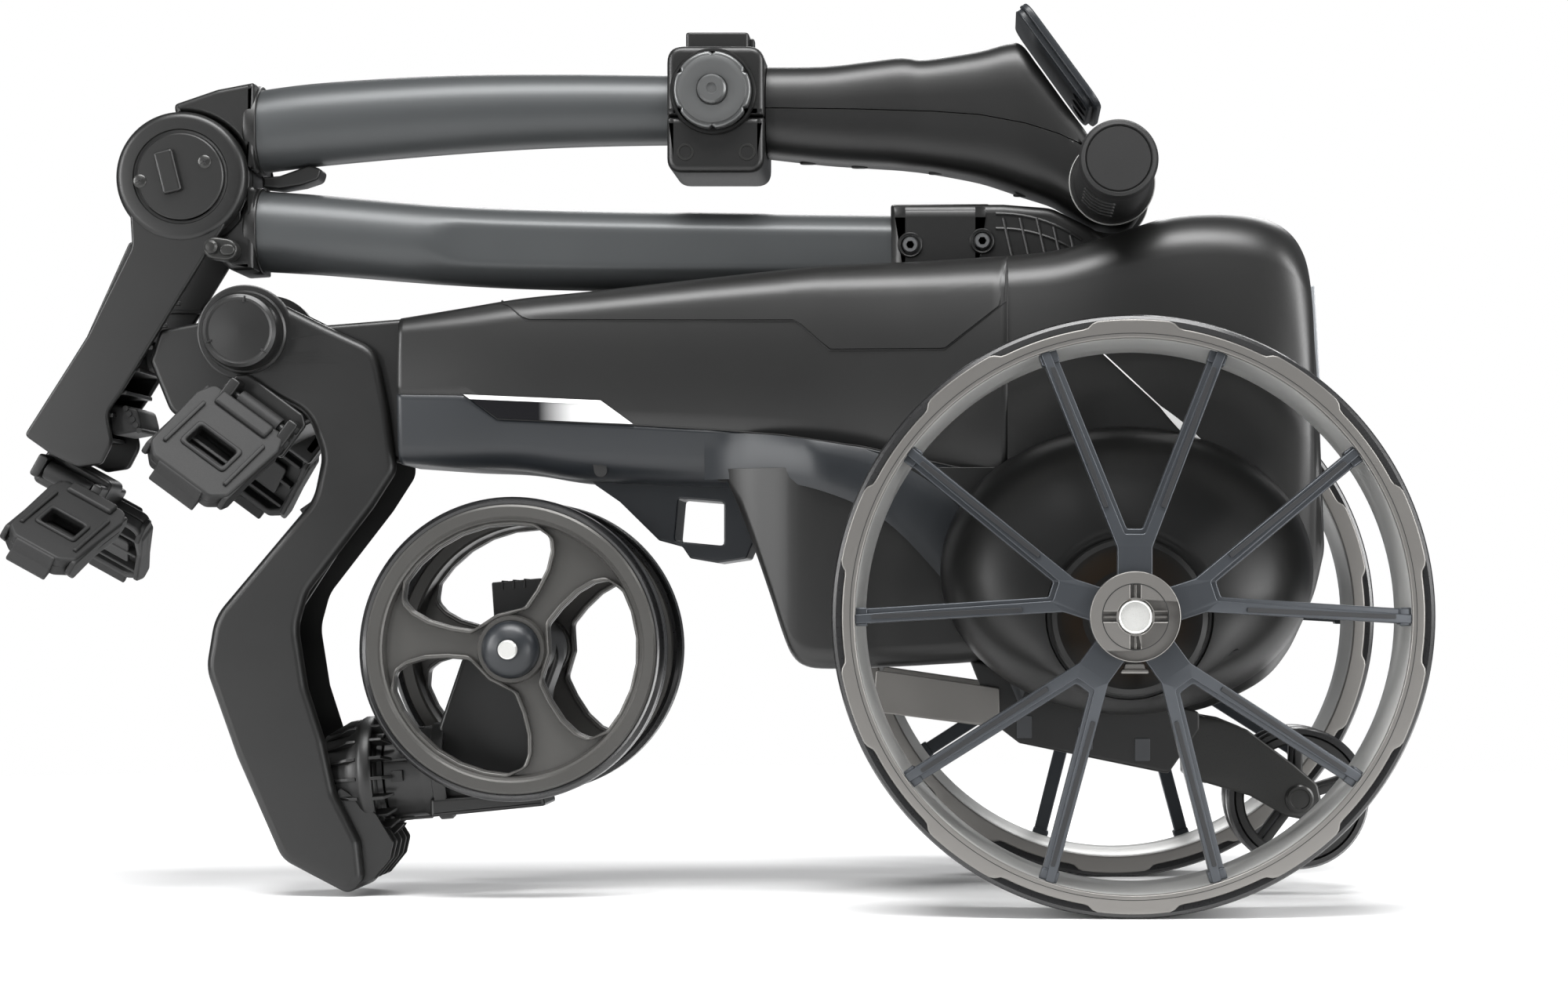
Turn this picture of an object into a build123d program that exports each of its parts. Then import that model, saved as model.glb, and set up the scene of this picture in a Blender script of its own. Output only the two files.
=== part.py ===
from build123d import *
import os
from math import cos, radians, sin

os.makedirs("parts", exist_ok=True)

# Electric golf trolley, folded for storage with its rear wheels turned inwards.
# Millimetres, +Z up, front of the trolley towards -X, left side towards -Y.

# ---------------------------------------------------------------- driving sizes
WALL = 3.0
RUNNING = 0.05

AXLE_X, AXLE_Z = 222.0, 150.0
TYRE_R = 150.0
RIM_R = 146.4
RIM_INNER_R = 138.1
WHEEL_IN_Y = 100.0
WHEEL_OUT_Y = 160.0
LUG_COUNT = 10
LUG_DEPTH = 7.0
LUG_LENGTH = 34.0
LUG_RISE = 6.0
LUG_MID_R = 146.0
SPOKE_PAIRS = 5
SPOKE_WIDTH = 7.3
HUB_R = 22.3
HUB_FACE_Y = 182.0
HUB_BORE_R = 8.9
AXLE_R = 7.7
MOTOR_CAP_R = 41.0

FRONT_X, FRONT_Z = -101.0, 132.7
FRONT_R = 80.5
FRONT_RIM_R = 76.5
FRONT_IN_Y = 35.0
FRONT_OUT_Y = 61.0
FRONT_AXLE_R = 5.0
FRONT_CAP_R = 15.0

CASTER_X, CASTER_Z = -157.4, 65.2
CASTER_TILT = 4.5
CASTER_BARREL_R = 24.0
CASTER_STEM_R = 9.0

LEG_X, LEG_Z = -247.0, 301.6
LEG_HALF = 33.0
LEG_WALL = 4.0
LEG_PIN_R = 6.0

STEM_X, STEM_Z = 203.0, 335.0
STEM_PIN_R = 6.0
STEM_HALF = 22.0
SLOT_HALF = 25.0

HINGE_X, HINGE_Z = -282.0, 385.3
HINGE_R = 34.6
HINGE_PIN_R = 7.0
TONGUE_HALF = 11.8
KNUCKLE_HALF = 22.0

ANTITIP_X, ANTITIP_Z = 316.5, 52.4
ANTITIP_R = 38.4

FRAME_SPLIT_X = 160.0
BODY_HALF_REAR = 84.0


def rail(y):
    """Side plane at a distance y to the left of the middle; it faces left."""
    return Plane.XZ.offset(y)


def save_pair(stem, left):
    """Write a left piece and its mirror image for the right side."""
    with BuildPart() as right:
        mirror(left, about=Plane.XZ)
    left.label = stem + "_left"
    right.part.label = stem + "_right"
    export_step(left, "parts/" + stem + "_left.step")
    export_step(right.part, "parts/" + stem + "_right.step")


def save_group(name, left):
    """Write a left piece and its mirror image as one node of separate solids."""
    with BuildPart() as group:
        add(left)
        mirror(left, about=Plane.XZ)
    group.part.label = name
    export_step(group.part, "parts/" + name + ".step")


def prism(points, half, corner=0.0):
    """A flat piece with an XZ outline, centred across the trolley."""
    with BuildPart() as block:
        with BuildSketch(Plane.XZ) as face:
            with BuildLine():
                Polyline(*points, close=True)
            make_face()
            if corner:
                fillet(face.vertices(), corner)
        extrude(amount=half, both=True)
    return block.part


def side_plate(points, y_in, y_out, corner=0.0):
    """A flat piece with an XZ outline on the left side."""
    with BuildPart() as plate:
        with BuildSketch(rail(y_in)) as face:
            with BuildLine():
                Polyline(*points, close=True)
            make_face()
            if corner:
                fillet(face.vertices(), corner)
        extrude(amount=y_out - y_in)
    return plate.part


def rod(x, z, radius, y_in, y_out):
    """A left-side bar across the trolley; negative y_in passes the middle."""
    with BuildPart() as bar:
        with BuildSketch(rail(y_in)):
            with Locations((x, z)):
                Circle(radius)
        extrude(amount=y_out - y_in)
    return bar.part


# ---------------------------------------------------------------- rear wheels
def rear_lug_pattern(extra):
    with Locations((AXLE_X, AXLE_Z)):
        with PolarLocations(LUG_MID_R, LUG_COUNT, start_angle=18):
            Rectangle(LUG_RISE + extra, LUG_LENGTH + extra)


def make_rear_rim():
    with BuildPart() as rim:
        with BuildSketch(rail(WHEEL_IN_Y)):
            with Locations((AXLE_X, AXLE_Z)):
                Circle(RIM_R)
                Circle(RIM_INNER_R, mode=Mode.SUBTRACT)
        extrude(amount=WHEEL_OUT_Y - WHEEL_IN_Y)
        chamfer(rim.edges().filter_by(GeomType.CIRCLE).sort_by(Axis.Y)[:1], 1.0)
        with BuildSketch(rail(WHEEL_IN_Y), rail(WHEEL_OUT_Y - LUG_DEPTH)):
            rear_lug_pattern(0.0)
        extrude(amount=LUG_DEPTH)
        with BuildSketch(rail(WHEEL_IN_Y - 1)):
            with Locations((AXLE_X, AXLE_Z)):
                Circle(RIM_INNER_R)
        extrude(amount=WHEEL_OUT_Y - WHEEL_IN_Y + 2, mode=Mode.SUBTRACT)
    return rim.part


def make_rear_tyre():
    inner = RIM_R + 0.1
    with BuildPart() as tyre:
        with BuildSketch(rail(WHEEL_IN_Y + 0.5)):
            with Locations((AXLE_X, AXLE_Z)):
                Circle(TYRE_R)
                Circle(inner, mode=Mode.SUBTRACT)
        extrude(amount=WHEEL_OUT_Y - WHEEL_IN_Y - 1.0)
        outer = tyre.edges().filter_by(GeomType.CIRCLE).sort_by(lambda e: e.radius)[-2:]
        chamfer(outer, 1.6)
        with BuildSketch(rail(WHEEL_IN_Y), rail(WHEEL_OUT_Y - LUG_DEPTH)):
            rear_lug_pattern(0.3)
        extrude(amount=LUG_DEPTH, mode=Mode.SUBTRACT)
    return tyre.part


def branch_plane(start, angle):
    direction = (cos(radians(angle)), 0, sin(radians(angle)))
    across = (-sin(radians(angle)), 0, cos(radians(angle)))
    return Plane(origin=(start[0], 0, start[1]), x_dir=direction, z_dir=across)


def make_rear_spokes():
    boss_in, boss_out = 163.0, HUB_FACE_Y - 6.0
    tip_in, tip_out = 146.0, 158.0
    collar_in = 137.0
    split_r, rim_r = 38.0, 141.0
    with BuildPart() as spokes:
        with BuildSketch(rail(boss_in)):
            with Locations((AXLE_X, AXLE_Z)):
                Circle(HUB_R)
                with PolarLocations(31.0, SPOKE_PAIRS, start_angle=90):
                    Rectangle(32.0, 18.0)
        extrude(amount=boss_out - boss_in)
        for base in range(SPOKE_PAIRS):
            middle = 90 + 72 * base
            start = Vector(split_r, 0).rotate(Axis.Z, middle)
            for side in (-18, 18):
                tip = Vector(rim_r, 0).rotate(Axis.Z, middle + side)
                run = tip - start
                turn = Vector(1, 0).get_signed_angle(run, Vector(0, 0, 1))
                origin = (AXLE_X + start.X, AXLE_Z + start.Y)
                with BuildSketch(branch_plane(origin, turn)):
                    with BuildLine():
                        Polyline(
                            (0, -boss_out), (0, -boss_in),
                            (run.length, -tip_in), (run.length, -tip_out), close=True,
                        )
                    make_face()
                extrude(amount=SPOKE_WIDTH / 2, both=True)
        with BuildSketch(rail(collar_in)):
            with Locations((AXLE_X, AXLE_Z)):
                Circle(17.0)
        extrude(amount=boss_in - collar_in)
        with BuildSketch(rail(130.0)):
            with Locations((AXLE_X, AXLE_Z)):
                Circle(RIM_INNER_R + 0.6)
        extrude(amount=60.0, mode=Mode.INTERSECT)
        with BuildSketch(rail(130.0)):
            with Locations((AXLE_X, AXLE_Z)):
                Circle(AXLE_R + 0.1)
        extrude(amount=60.0, mode=Mode.SUBTRACT)
    return spokes.part


def make_rear_hub():
    with BuildPart() as hub:
        with BuildSketch(rail(176.0)):
            with Locations((AXLE_X, AXLE_Z)):
                Circle(HUB_R)
        extrude(amount=HUB_FACE_Y - 176.0)
        chamfer(hub.faces().sort_by(Axis.Y)[0].edges(), 0.8)
        with BuildSketch(rail(178.0)):
            with Locations((AXLE_X, AXLE_Z)):
                Circle(16.4)
                Circle(15.8, mode=Mode.SUBTRACT)
                with PolarLocations(12.0, 4):
                    SlotOverall(6.6, 4.4)
        extrude(amount=5.0, mode=Mode.SUBTRACT)
        with BuildSketch(rail(175.0)):
            with Locations((AXLE_X, AXLE_Z)):
                Circle(HUB_BORE_R)
        extrude(amount=8.0, mode=Mode.SUBTRACT)
    return hub.part


def make_release_tab():
    """Quick-release tab that lifts the catch behind the hub face."""
    top = AXLE_Z - HUB_R - 0.4
    outline = [(AXLE_X - 4.4, top), (AXLE_X + 4.4, top), (AXLE_X + 6.4, top - 4.5), (AXLE_X - 6.4, top - 4.5)]
    return side_plate(outline, 164.0, 174.0, 0.8)


def make_rear_wheel():
    with BuildPart() as wheel:
        add(make_rear_rim())
        add(make_rear_spokes())
        add(make_rear_hub())
    return wheel.part


save_pair("rear_wheel", make_rear_wheel())
save_pair("rear_tyre", make_rear_tyre())
save_pair("release_tab", make_release_tab())
save_pair("drive_axle", rod(AXLE_X, AXLE_Z, AXLE_R, 60.0, 179.0))


# ---------------------------------------------------------------- front wheels
def front_window(grow):
    """One rounded window between two blades of a front wheel, at the angle 0."""
    with BuildSketch() as window:
        with BuildLine():
            inner_low = (21.0 * cos(radians(-32)), 21.0 * sin(radians(-32)))
            inner_high = (21.0 * cos(radians(32)), 21.0 * sin(radians(32)))
            outer_low = (64.5 * cos(radians(-40)), 64.5 * sin(radians(-40)))
            outer_high = (64.5 * cos(radians(40)), 64.5 * sin(radians(40)))
            ThreePointArc(inner_low, (21.0, 0), inner_high)
            Line(inner_high, outer_high)
            ThreePointArc(outer_high, (64.5, 0), outer_low)
            Line(outer_low, inner_low)
        make_face()
        fillet(window.vertices(), 5.0)
        if grow:
            offset(amount=grow)
    return window.sketch


def front_window_prisms(grow, y_in, y_out):
    """The three windows as solid blocks between two distances from the middle."""
    with BuildPart() as blocks:
        with BuildSketch(rail(y_in)):
            for turn in (0, 120, 240):
                add(front_window(grow).rotate(Axis.Z, turn).moved(Location((FRONT_X, FRONT_Z, 0))))
        extrude(amount=y_out - y_in)
    return blocks.part


def make_front_rim():
    with BuildPart() as rim:
        with BuildSketch(rail(50.0)):
            with Locations((FRONT_X, FRONT_Z)):
                Circle(70.0)
        extrude(amount=6.0)
        add(front_window_prisms(3.2, 48.0, 61.0))
        add(front_window_prisms(0.0, 40.0, 70.0), mode=Mode.SUBTRACT)
        with BuildSketch(rail(FRONT_IN_Y + 1)):
            with Locations((FRONT_X, FRONT_Z)):
                Circle(FRONT_RIM_R)
                Circle(69.0, mode=Mode.SUBTRACT)
        extrude(amount=FRONT_OUT_Y - FRONT_IN_Y - 2)
        with BuildSketch(rail(FRONT_IN_Y + 4)):
            with Locations((FRONT_X, FRONT_Z)):
                Circle(16.0)
        extrude(amount=28.0)
        with BuildSketch(rail(FRONT_IN_Y)):
            with Locations((FRONT_X, FRONT_Z)):
                Circle(FRONT_AXLE_R + RUNNING)
        extrude(amount=40.0, mode=Mode.SUBTRACT)
    return rim.part


def make_front_tyre():
    crown = FRONT_R
    with BuildPart() as tyre:
        with BuildSketch(Plane.XY) as section:
            with BuildLine():
                edge = FRONT_RIM_R + 0.1
                Line((edge, -FRONT_OUT_Y + 1), (edge, -FRONT_IN_Y - 1))
                Line((edge, -FRONT_IN_Y - 1), (crown - 2.2, -FRONT_IN_Y - 1.5))
                ThreePointArc(
                    (crown - 2.2, -FRONT_IN_Y - 1.5), (crown, -48.0), (crown - 2.2, -FRONT_OUT_Y + 1.5)
                )
                Line((crown - 2.2, -FRONT_OUT_Y + 1.5), (edge, -FRONT_OUT_Y + 1))
            make_face()
        revolve(axis=Axis.Y)
    return tyre.part.moved(Location((FRONT_X, 0, FRONT_Z)))


def make_front_wheel():
    with BuildPart() as wheel:
        add(make_front_rim())
        with BuildSketch(rail(FRONT_OUT_Y + 5)):
            with Locations((FRONT_X, FRONT_Z)):
                Circle(FRONT_CAP_R)
        extrude(amount=5.0)
        fillet(wheel.faces().sort_by(Axis.Y)[0].edges().sort_by(lambda e: e.radius)[-1:], 3.0)
        with BuildSketch(rail(60.0)):
            with Locations((FRONT_X, FRONT_Z)):
                Circle(FRONT_AXLE_R + 0.4)
        extrude(amount=15.0, mode=Mode.SUBTRACT)
    return wheel.part


save_pair("front_wheel", make_front_wheel())
save_pair("front_tyre", make_front_tyre())


# ---------------------------------------------------------------- caster
def caster_plane(along):
    """Plane square to the swivel axis; along is measured back from its middle."""
    direction = (cos(radians(CASTER_TILT)), 0, sin(radians(CASTER_TILT)))
    start = Vector(CASTER_X, 0, CASTER_Z) + Vector(*direction) * along
    return Plane(origin=start, x_dir=(0, 1, 0), z_dir=direction)


def caster_cylinder(radius, start, end, bore=0.0):
    with BuildPart() as tube:
        with BuildSketch(caster_plane(start)):
            Circle(radius)
            if bore:
                Circle(bore, mode=Mode.SUBTRACT)
        extrude(amount=end - start)
    return tube.part


def make_caster_fork():
    arm = [
        (-146, 90), (-134, 128), (-118, 147), (-101, 150.5), (-86, 144), (-82, 128), (-88, 110),
        (-90.7, 85), (-94, 66), (-90, 49), (-140, 43), (-146, 42),
    ]
    with BuildPart() as fork:
        add(prism(arm, 13.0, 4.0))
        add(caster_cylinder(CASTER_BARREL_R, -17.5, 14.0))
        add(caster_cylinder(26.0, 9.0, 15.0))
        with BuildSketch(Plane.XZ):
            with Locations((FRONT_X, FRONT_Z)):
                Circle(17.0)
        extrude(amount=FRONT_IN_Y - 1.5, both=True)
        with BuildSketch(Plane.XZ):
            with Locations((FRONT_X, FRONT_Z)):
                Circle(FRONT_AXLE_R + 0.02)
        extrude(amount=60.0, both=True, mode=Mode.SUBTRACT)
        add(caster_cylinder(CASTER_STEM_R + 0.02, -20.0, 10.0), mode=Mode.SUBTRACT)
    return fork.part


with BuildPart() as caster_fork:
    add(make_caster_fork())
    add(prism([(-119, 168), (-92, 170.5), (-92, 148), (-117, 148)], 9.0, 1.0))
caster_fork.part.label = "caster_fork"
export_step(caster_fork.part, "parts/caster_fork.step")

with BuildPart() as front_axle:
    with BuildSketch(Plane.XZ):
        with Locations((FRONT_X, FRONT_Z)):
            Circle(FRONT_AXLE_R)
    extrude(amount=74.0, both=True)
    chamfer(front_axle.edges().filter_by(GeomType.CIRCLE), 0.8)

with BuildPart() as caster_shafts:
    add(caster_cylinder(CASTER_STEM_R, -49.0, 9.9))
    add(front_axle.part)
caster_shafts.part.label = "caster_shafts"
export_step(caster_shafts.part, "parts/caster_shafts.step")

# ---------------------------------------------------------------- front leg
leg_right_edge = [
    (-202, 304.2), (-181, 295), (-174, 282), (-168.5, 251), (-166.8, 232), (-176.8, 211.3),
    (-210.3, 167.3), (-219.5, 148.5), (-214.5, 115), (-209, 100), (-196, 60), (-176, 32),
]
leg_left_edge = [
    (-178, 12), (-192, 0), (-214, 14), (-229.2, 24.9), (-252.2, 77.3), (-265.6, 115), (-267.7, 131.7),
    (-256.4, 156.8), (-212.4, 211.3), (-207, 228), (-210, 249), (-225, 265.7), (-262, 283),
]


def make_leg_shell():
    rim_points = leg_right_edge + leg_left_edge
    with BuildPart() as leg:
        with BuildSketch(Plane.XZ) as face:
            with BuildLine():
                Polyline(*rim_points, close=True)
            make_face()
            fillet(face.vertices(), 2.0)
            with Locations((LEG_X, LEG_Z)):
                Circle(24.0)
        extrude(amount=LEG_HALF, both=True)
        with BuildSketch(Plane.XZ) as hollow:
            with BuildLine():
                Polyline(
                    (-205, 60), (-212, 36), (-226, 38), (-248.2, 79), (-261.4, 116), (-263.4, 131),
                    (-253, 154.5), (-208.8, 209.5), (-202.8, 228), (-205.2, 249), (-212, 262),
                    (-240, 262), (-300, 262), (-300, 340), (-140, 340), (-140, 200), (-150, 180),
                    (-180, 150), (-190, 130), (-185, 96), (-204, 96), close=True,
                )
            make_face()
        extrude(amount=LEG_HALF - LEG_WALL, both=True, mode=Mode.SUBTRACT)
        with BuildSketch(Plane.XZ):
            with Locations((LEG_X, LEG_Z)):
                Circle(63.0)
        extrude(amount=LEG_HALF - LEG_WALL, both=True, mode=Mode.SUBTRACT)
        for rib in ((-232, 176), (-252, 128), (-240, 80)):
            with BuildSketch(Plane.XZ):
                with Locations(rib):
                    Rectangle(34.0, 2.5)
            extrude(amount=LEG_HALF - LEG_WALL, both=True)
        with BuildSketch(Plane.XZ):
            with BuildLine():
                Polyline(*rim_points, close=True)
            make_face()
            with Locations((LEG_X, LEG_Z)):
                Circle(24.0)
                Circle(LEG_PIN_R + RUNNING, mode=Mode.SUBTRACT)
        extrude(amount=LEG_HALF, both=True, mode=Mode.INTERSECT)
        add(caster_cylinder(17.3, -52.0, 0.0), mode=Mode.SUBTRACT)
        add(caster_cylinder(30.3, -27.9, 20.0), mode=Mode.SUBTRACT)
    return leg.part


with BuildPart() as leg_shell:
    add(make_leg_shell())
leg_shell.part.label = "leg_shell"
export_step(leg_shell.part, "parts/leg_shell.step")

with BuildPart() as caster_housing:
    add(caster_cylinder(30.0, -27.5, -18.0))
    add(caster_cylinder(17.0, -51.0, -27.5))
    add(caster_cylinder(12.0, -60.0, 0.0), mode=Mode.SUBTRACT)
caster_housing.part.label = "caster_housing"
export_step(caster_housing.part, "parts/caster_housing.step")

with BuildPart() as caster_bush:
    add(caster_cylinder(11.98, -50.0, -18.5, CASTER_STEM_R + RUNNING))
caster_bush.part.label = "caster_bush"
export_step(caster_bush.part, "parts/caster_bush.step")

with BuildPart() as leg_cap_left:
    with BuildSketch(rail(LEG_HALF)):
        with Locations((LEG_X, LEG_Z)):
            Circle(20.0)
    extrude(amount=15.0)
    fillet(leg_cap_left.faces().sort_by(Axis.Y)[0].edges(), 3.0)
    with BuildSketch(rail(LEG_HALF)):
        with Locations((LEG_X, LEG_Z)):
            Circle(LEG_PIN_R + 0.5)
    extrude(amount=4.0, mode=Mode.SUBTRACT)
save_group("leg_caps", leg_cap_left.part)

with BuildPart() as pivot_pins:
    with BuildSketch(Plane.XZ):
        with Locations((LEG_X, LEG_Z)):
            Circle(LEG_PIN_R)
    extrude(amount=36.0, both=True)
    with BuildSketch(Plane.XZ):
        with Locations((STEM_X, STEM_Z)):
            Circle(STEM_PIN_R)
    extrude(amount=32.0, both=True)
pivot_pins.part.label = "pivot_pins"
export_step(pivot_pins.part, "parts/pivot_pins.step")


# ---------------------------------------------------------------- bag cradles
def cradle_frame(hinge, slope, splay):
    """Hinge plane of a left cradle: x along the hinge, y out along the wing."""
    along = Vector(cos(radians(slope)), 0, -sin(radians(slope)))
    down = Vector(-sin(radians(slope)), 0, -cos(radians(slope)))
    out = down * cos(radians(splay)) + Vector(0, -1, 0) * sin(radians(splay))
    return Plane(origin=hinge, x_dir=along, z_dir=along.cross(out))


def make_wing(frame, barrel, width, reach, shift):
    """A padded cradle wing with a strap window and its hinge barrel."""
    with BuildPart() as wing:
        with BuildSketch(frame) as plate:
            with Locations((shift, reach / 2 + 4.5)):
                Rectangle(width, reach - 9)
                fillet(plate.vertices(), 6.0)
            with Locations((shift, reach * 0.62)):
                Rectangle(width * 0.42, reach * 0.24, mode=Mode.SUBTRACT)
        extrude(amount=3.0, both=True)
        with BuildSketch(frame):
            with Locations((0, 6.0)):
                Rectangle(barrel, 12.0)
        extrude(amount=3.0, both=True)
        with BuildSketch(frame):
            with Locations((shift - width / 2 + 1.5, reach / 2), (shift + width / 2 - 1.5, reach / 2)):
                Rectangle(3.0, reach * 0.6)
        extrude(amount=8.0)
        across = Plane(origin=frame.origin - frame.x_dir * barrel / 2, z_dir=frame.x_dir)
        with BuildSketch(across):
            Circle(5.0)
        extrude(amount=barrel)
        with BuildSketch(across):
            Circle(3.0 + RUNNING)
        extrude(amount=barrel, mode=Mode.SUBTRACT)
    return wing.part


def make_cradle_pin(frame, length):
    with BuildPart() as pin:
        with BuildSketch(Plane(origin=frame.origin - frame.x_dir * length / 2, z_dir=frame.x_dir)):
            Circle(3.0)
        extrude(amount=length)
    return pin.part


def make_cradle_ears(frame, barrel, foot_y):
    """Two ears that hold the cradle pin, with a foot against the side at foot_y."""
    out = frame.origin.Y
    along = frame.x_dir
    upright = Plane(origin=(frame.origin.X, out, frame.origin.Z), x_dir=along, z_dir=(0, -1, 0))
    with BuildPart() as ears:
        with BuildSketch(upright.offset(out - foot_y)):
            Rectangle(barrel + 12, 14.0)
        extrude(amount=2.0)
        with BuildSketch(upright.offset(out - foot_y)):
            with Locations((-barrel / 2 - 3.3, 0), (barrel / 2 + 3.3, 0)):
                Rectangle(5.0, 11.0)
        extrude(amount=foot_y - out + 5.0)
        across = Plane(origin=frame.origin - frame.x_dir * barrel, z_dir=frame.x_dir)
        with BuildSketch(across):
            Circle(3.0)
        extrude(amount=barrel * 2, mode=Mode.SUBTRACT)
    return ears.part


LOWER_HINGE = Vector(-237.7, -41.5, 258.0)
LOWER_SLOPE = 36.5
LOWER_BARREL = 30.0
lower_frame = cradle_frame(LOWER_HINGE, LOWER_SLOPE, 40)
save_pair("lower_cradle", make_wing(lower_frame, LOWER_BARREL, 54.0, 64.0, -4.0))
with BuildPart() as lower_hinge_left:
    add(make_cradle_ears(lower_frame, LOWER_BARREL, -LEG_HALF))
    add(make_cradle_pin(lower_frame, LOWER_BARREL + 11))
save_group("lower_cradle_hinges", lower_hinge_left.part)

UPPER_HINGE = Vector(-345.0, -19.0, 223.0)
UPPER_SLOPE = 29.0
UPPER_BARREL = 26.0
upper_frame = cradle_frame(UPPER_HINGE, UPPER_SLOPE, 60)
save_pair("upper_cradle", make_wing(upper_frame, UPPER_BARREL, 46.0, 80.0, 14.2))


def make_upper_cradle_mount():
    """Cross block at the end of the bag arm with two pairs of ears."""
    block = Plane(origin=(UPPER_HINGE.X, 0, UPPER_HINGE.Z), x_dir=upper_frame.x_dir, z_dir=(0, -1, 0))
    with BuildPart() as mount:
        with BuildSketch(block) as body:
            Rectangle(UPPER_BARREL + 14, 18.0)
            fillet(body.vertices(), 3.0)
        extrude(amount=12.0, both=True)
        with BuildSketch(block):
            with Locations((-UPPER_BARREL / 2 - 3.3, 0), (UPPER_BARREL / 2 + 3.3, 0)):
                Rectangle(5.0, 11.0)
        extrude(amount=24.0, both=True)
        for side in (-1, 1):
            start = Vector(UPPER_HINGE.X, side * 19.0, UPPER_HINGE.Z) - upper_frame.x_dir * 40
            with BuildSketch(Plane(origin=start, z_dir=upper_frame.x_dir)):
                Circle(3.0)
            extrude(amount=80.0, mode=Mode.SUBTRACT)
    return mount.part


upper_pin = make_cradle_pin(upper_frame, UPPER_BARREL + 11)
with BuildPart() as upper_cradle_mount:
    add(make_upper_cradle_mount())
    add(upper_pin)
    mirror(upper_pin, about=Plane.XZ)
upper_cradle_mount.part.label = "upper_cradle_mount"
export_step(upper_cradle_mount.part, "parts/upper_cradle_mount.step")


# ---------------------------------------------------------------- tubes and stem hinge
def make_tube(stations, wall):
    """A tapering round tube through (x, centre height, radius) stations."""
    with BuildPart() as tube:
        for x, z, radius in stations:
            with BuildSketch(Plane.YZ.offset(x)):
                with Locations((0, z)):
                    Circle(radius)
        loft()
        for x, z, radius in stations:
            with BuildSketch(Plane.YZ.offset(x)):
                with Locations((0, z)):
                    Circle(radius - wall)
        loft(mode=Mode.SUBTRACT)
    return tube.part


with BuildPart() as lower_tube:
    add(make_tube([(-246, 359.6, 21.9), (-145, 352.0, 21.6), (-20, 348.2, 21.5), (100, 347.0, 21.4)], 2.0))
lower_tube.part.label = "lower_tube"
export_step(lower_tube.part, "parts/lower_tube.step")

with BuildPart() as upper_tube:
    add(make_tube([(-246, 413.3, 22.4), (-145, 422.7, 21.5), (-86, 425.0, 20.2), (30, 425.0, 18.8)], 2.0))
upper_tube.part.label = "upper_tube"
export_step(upper_tube.part, "parts/upper_tube.step")

stem_casting_outline = [
    (100.3, 371.0), (160, 371.0), (187.6, 368.5), (206, 358.8), (221, 350.5), (227, 335), (221, 319),
    (203, 311.2), (190, 314.8), (176, 325.5), (100.3, 325.5),
]
with BuildPart() as stem_casting:
    add(prism(stem_casting_outline, STEM_HALF, 3.0))
    with BuildSketch(Plane.XZ):
        with Locations((STEM_X, STEM_Z)):
            Circle(STEM_PIN_R + RUNNING)
    extrude(amount=30.0, both=True, mode=Mode.SUBTRACT)
    with BuildSketch(rail(STEM_HALF - 3)):
        with Locations((108.1, 349.4), (146.8, 351.5)):
            Circle(4.2)
    extrude(amount=4.0, mode=Mode.SUBTRACT)
stem_casting.part.label = "stem_casting"
export_step(stem_casting.part, "parts/stem_casting.step")

with BuildPart() as stem_fasteners:
    with BuildSketch(rail(STEM_HALF - 3)):
        with Locations((108.1, 349.4), (146.8, 351.5)):
            Circle(4.0)
    extrude(amount=5.0)
    with BuildSketch(rail(STEM_HALF)):
        with Locations((108.1, 349.4), (146.8, 351.5)):
            RegularPolygon(2.3, 6)
    extrude(amount=3.0, mode=Mode.SUBTRACT)
    with BuildSketch(Plane.XZ):
        with Locations((HINGE_X, HINGE_Z)):
            Circle(HINGE_PIN_R)
    extrude(amount=29.5, both=True)
    with BuildSketch(rail(30.0)):
        with Locations((-260.5, 346.5)):
            SlotOverall(17.0, 11.0, rotation=-8)
    extrude(amount=5.0)
stem_fasteners.part.label = "stem_fasteners"
export_step(stem_fasteners.part, "parts/stem_fasteners.step")

with BuildPart() as lower_knuckle:
    heel = [(-246.3, 381.3), (-246.3, 337.9), (-262, 336), (-274, 352), (-282, 352), (-253, 385)]
    add(prism(heel, KNUCKLE_HALF))
    with BuildSketch(Plane.XZ):
        with Locations((HINGE_X, HINGE_Z)):
            Circle(HINGE_R)
    extrude(amount=KNUCKLE_HALF, both=True)
    with BuildSketch(Plane.XZ):
        with Locations((HINGE_X, HINGE_Z)):
            Circle(37.5)
    extrude(amount=TONGUE_HALF + 0.3, both=True, mode=Mode.SUBTRACT)
    with BuildSketch(Plane.XZ):
        with Locations((HINGE_X, HINGE_Z)):
            Circle(HINGE_PIN_R + 0.02)
    extrude(amount=40.0, both=True, mode=Mode.SUBTRACT)
lower_knuckle.part.label = "lower_knuckle"
export_step(lower_knuckle.part, "parts/lower_knuckle.step")

upper_casting_outline = [
    (-246.3, 435.8), (-246.3, 391.2), (-251, 391.2), (-254, 398), (-258, 413), (-266, 426), (-272, 431.0),
    (-260, 434.5),
]
with BuildPart() as upper_casting:
    add(prism(upper_casting_outline, KNUCKLE_HALF))
    with BuildSketch(Plane.XZ):
        with Locations((HINGE_X, HINGE_Z)):
            Circle(HINGE_R + 0.7)
    extrude(amount=40.0, both=True, mode=Mode.SUBTRACT)
    add(prism([(-246.3, 434), (-246.3, 391.2), (-262, 375), (-282, 400), (-282, 423)], TONGUE_HALF))
    with BuildSketch(Plane.XZ):
        with Locations((HINGE_X, HINGE_Z)):
            Circle(35.4)
    extrude(amount=TONGUE_HALF, both=True)
    with BuildSketch(Plane.XZ):
        with Locations((HINGE_X, HINGE_Z)):
            Circle(HINGE_PIN_R + RUNNING)
    extrude(amount=40.0, both=True, mode=Mode.SUBTRACT)
upper_casting.part.label = "upper_casting"
export_step(upper_casting.part, "parts/upper_casting.step")


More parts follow.
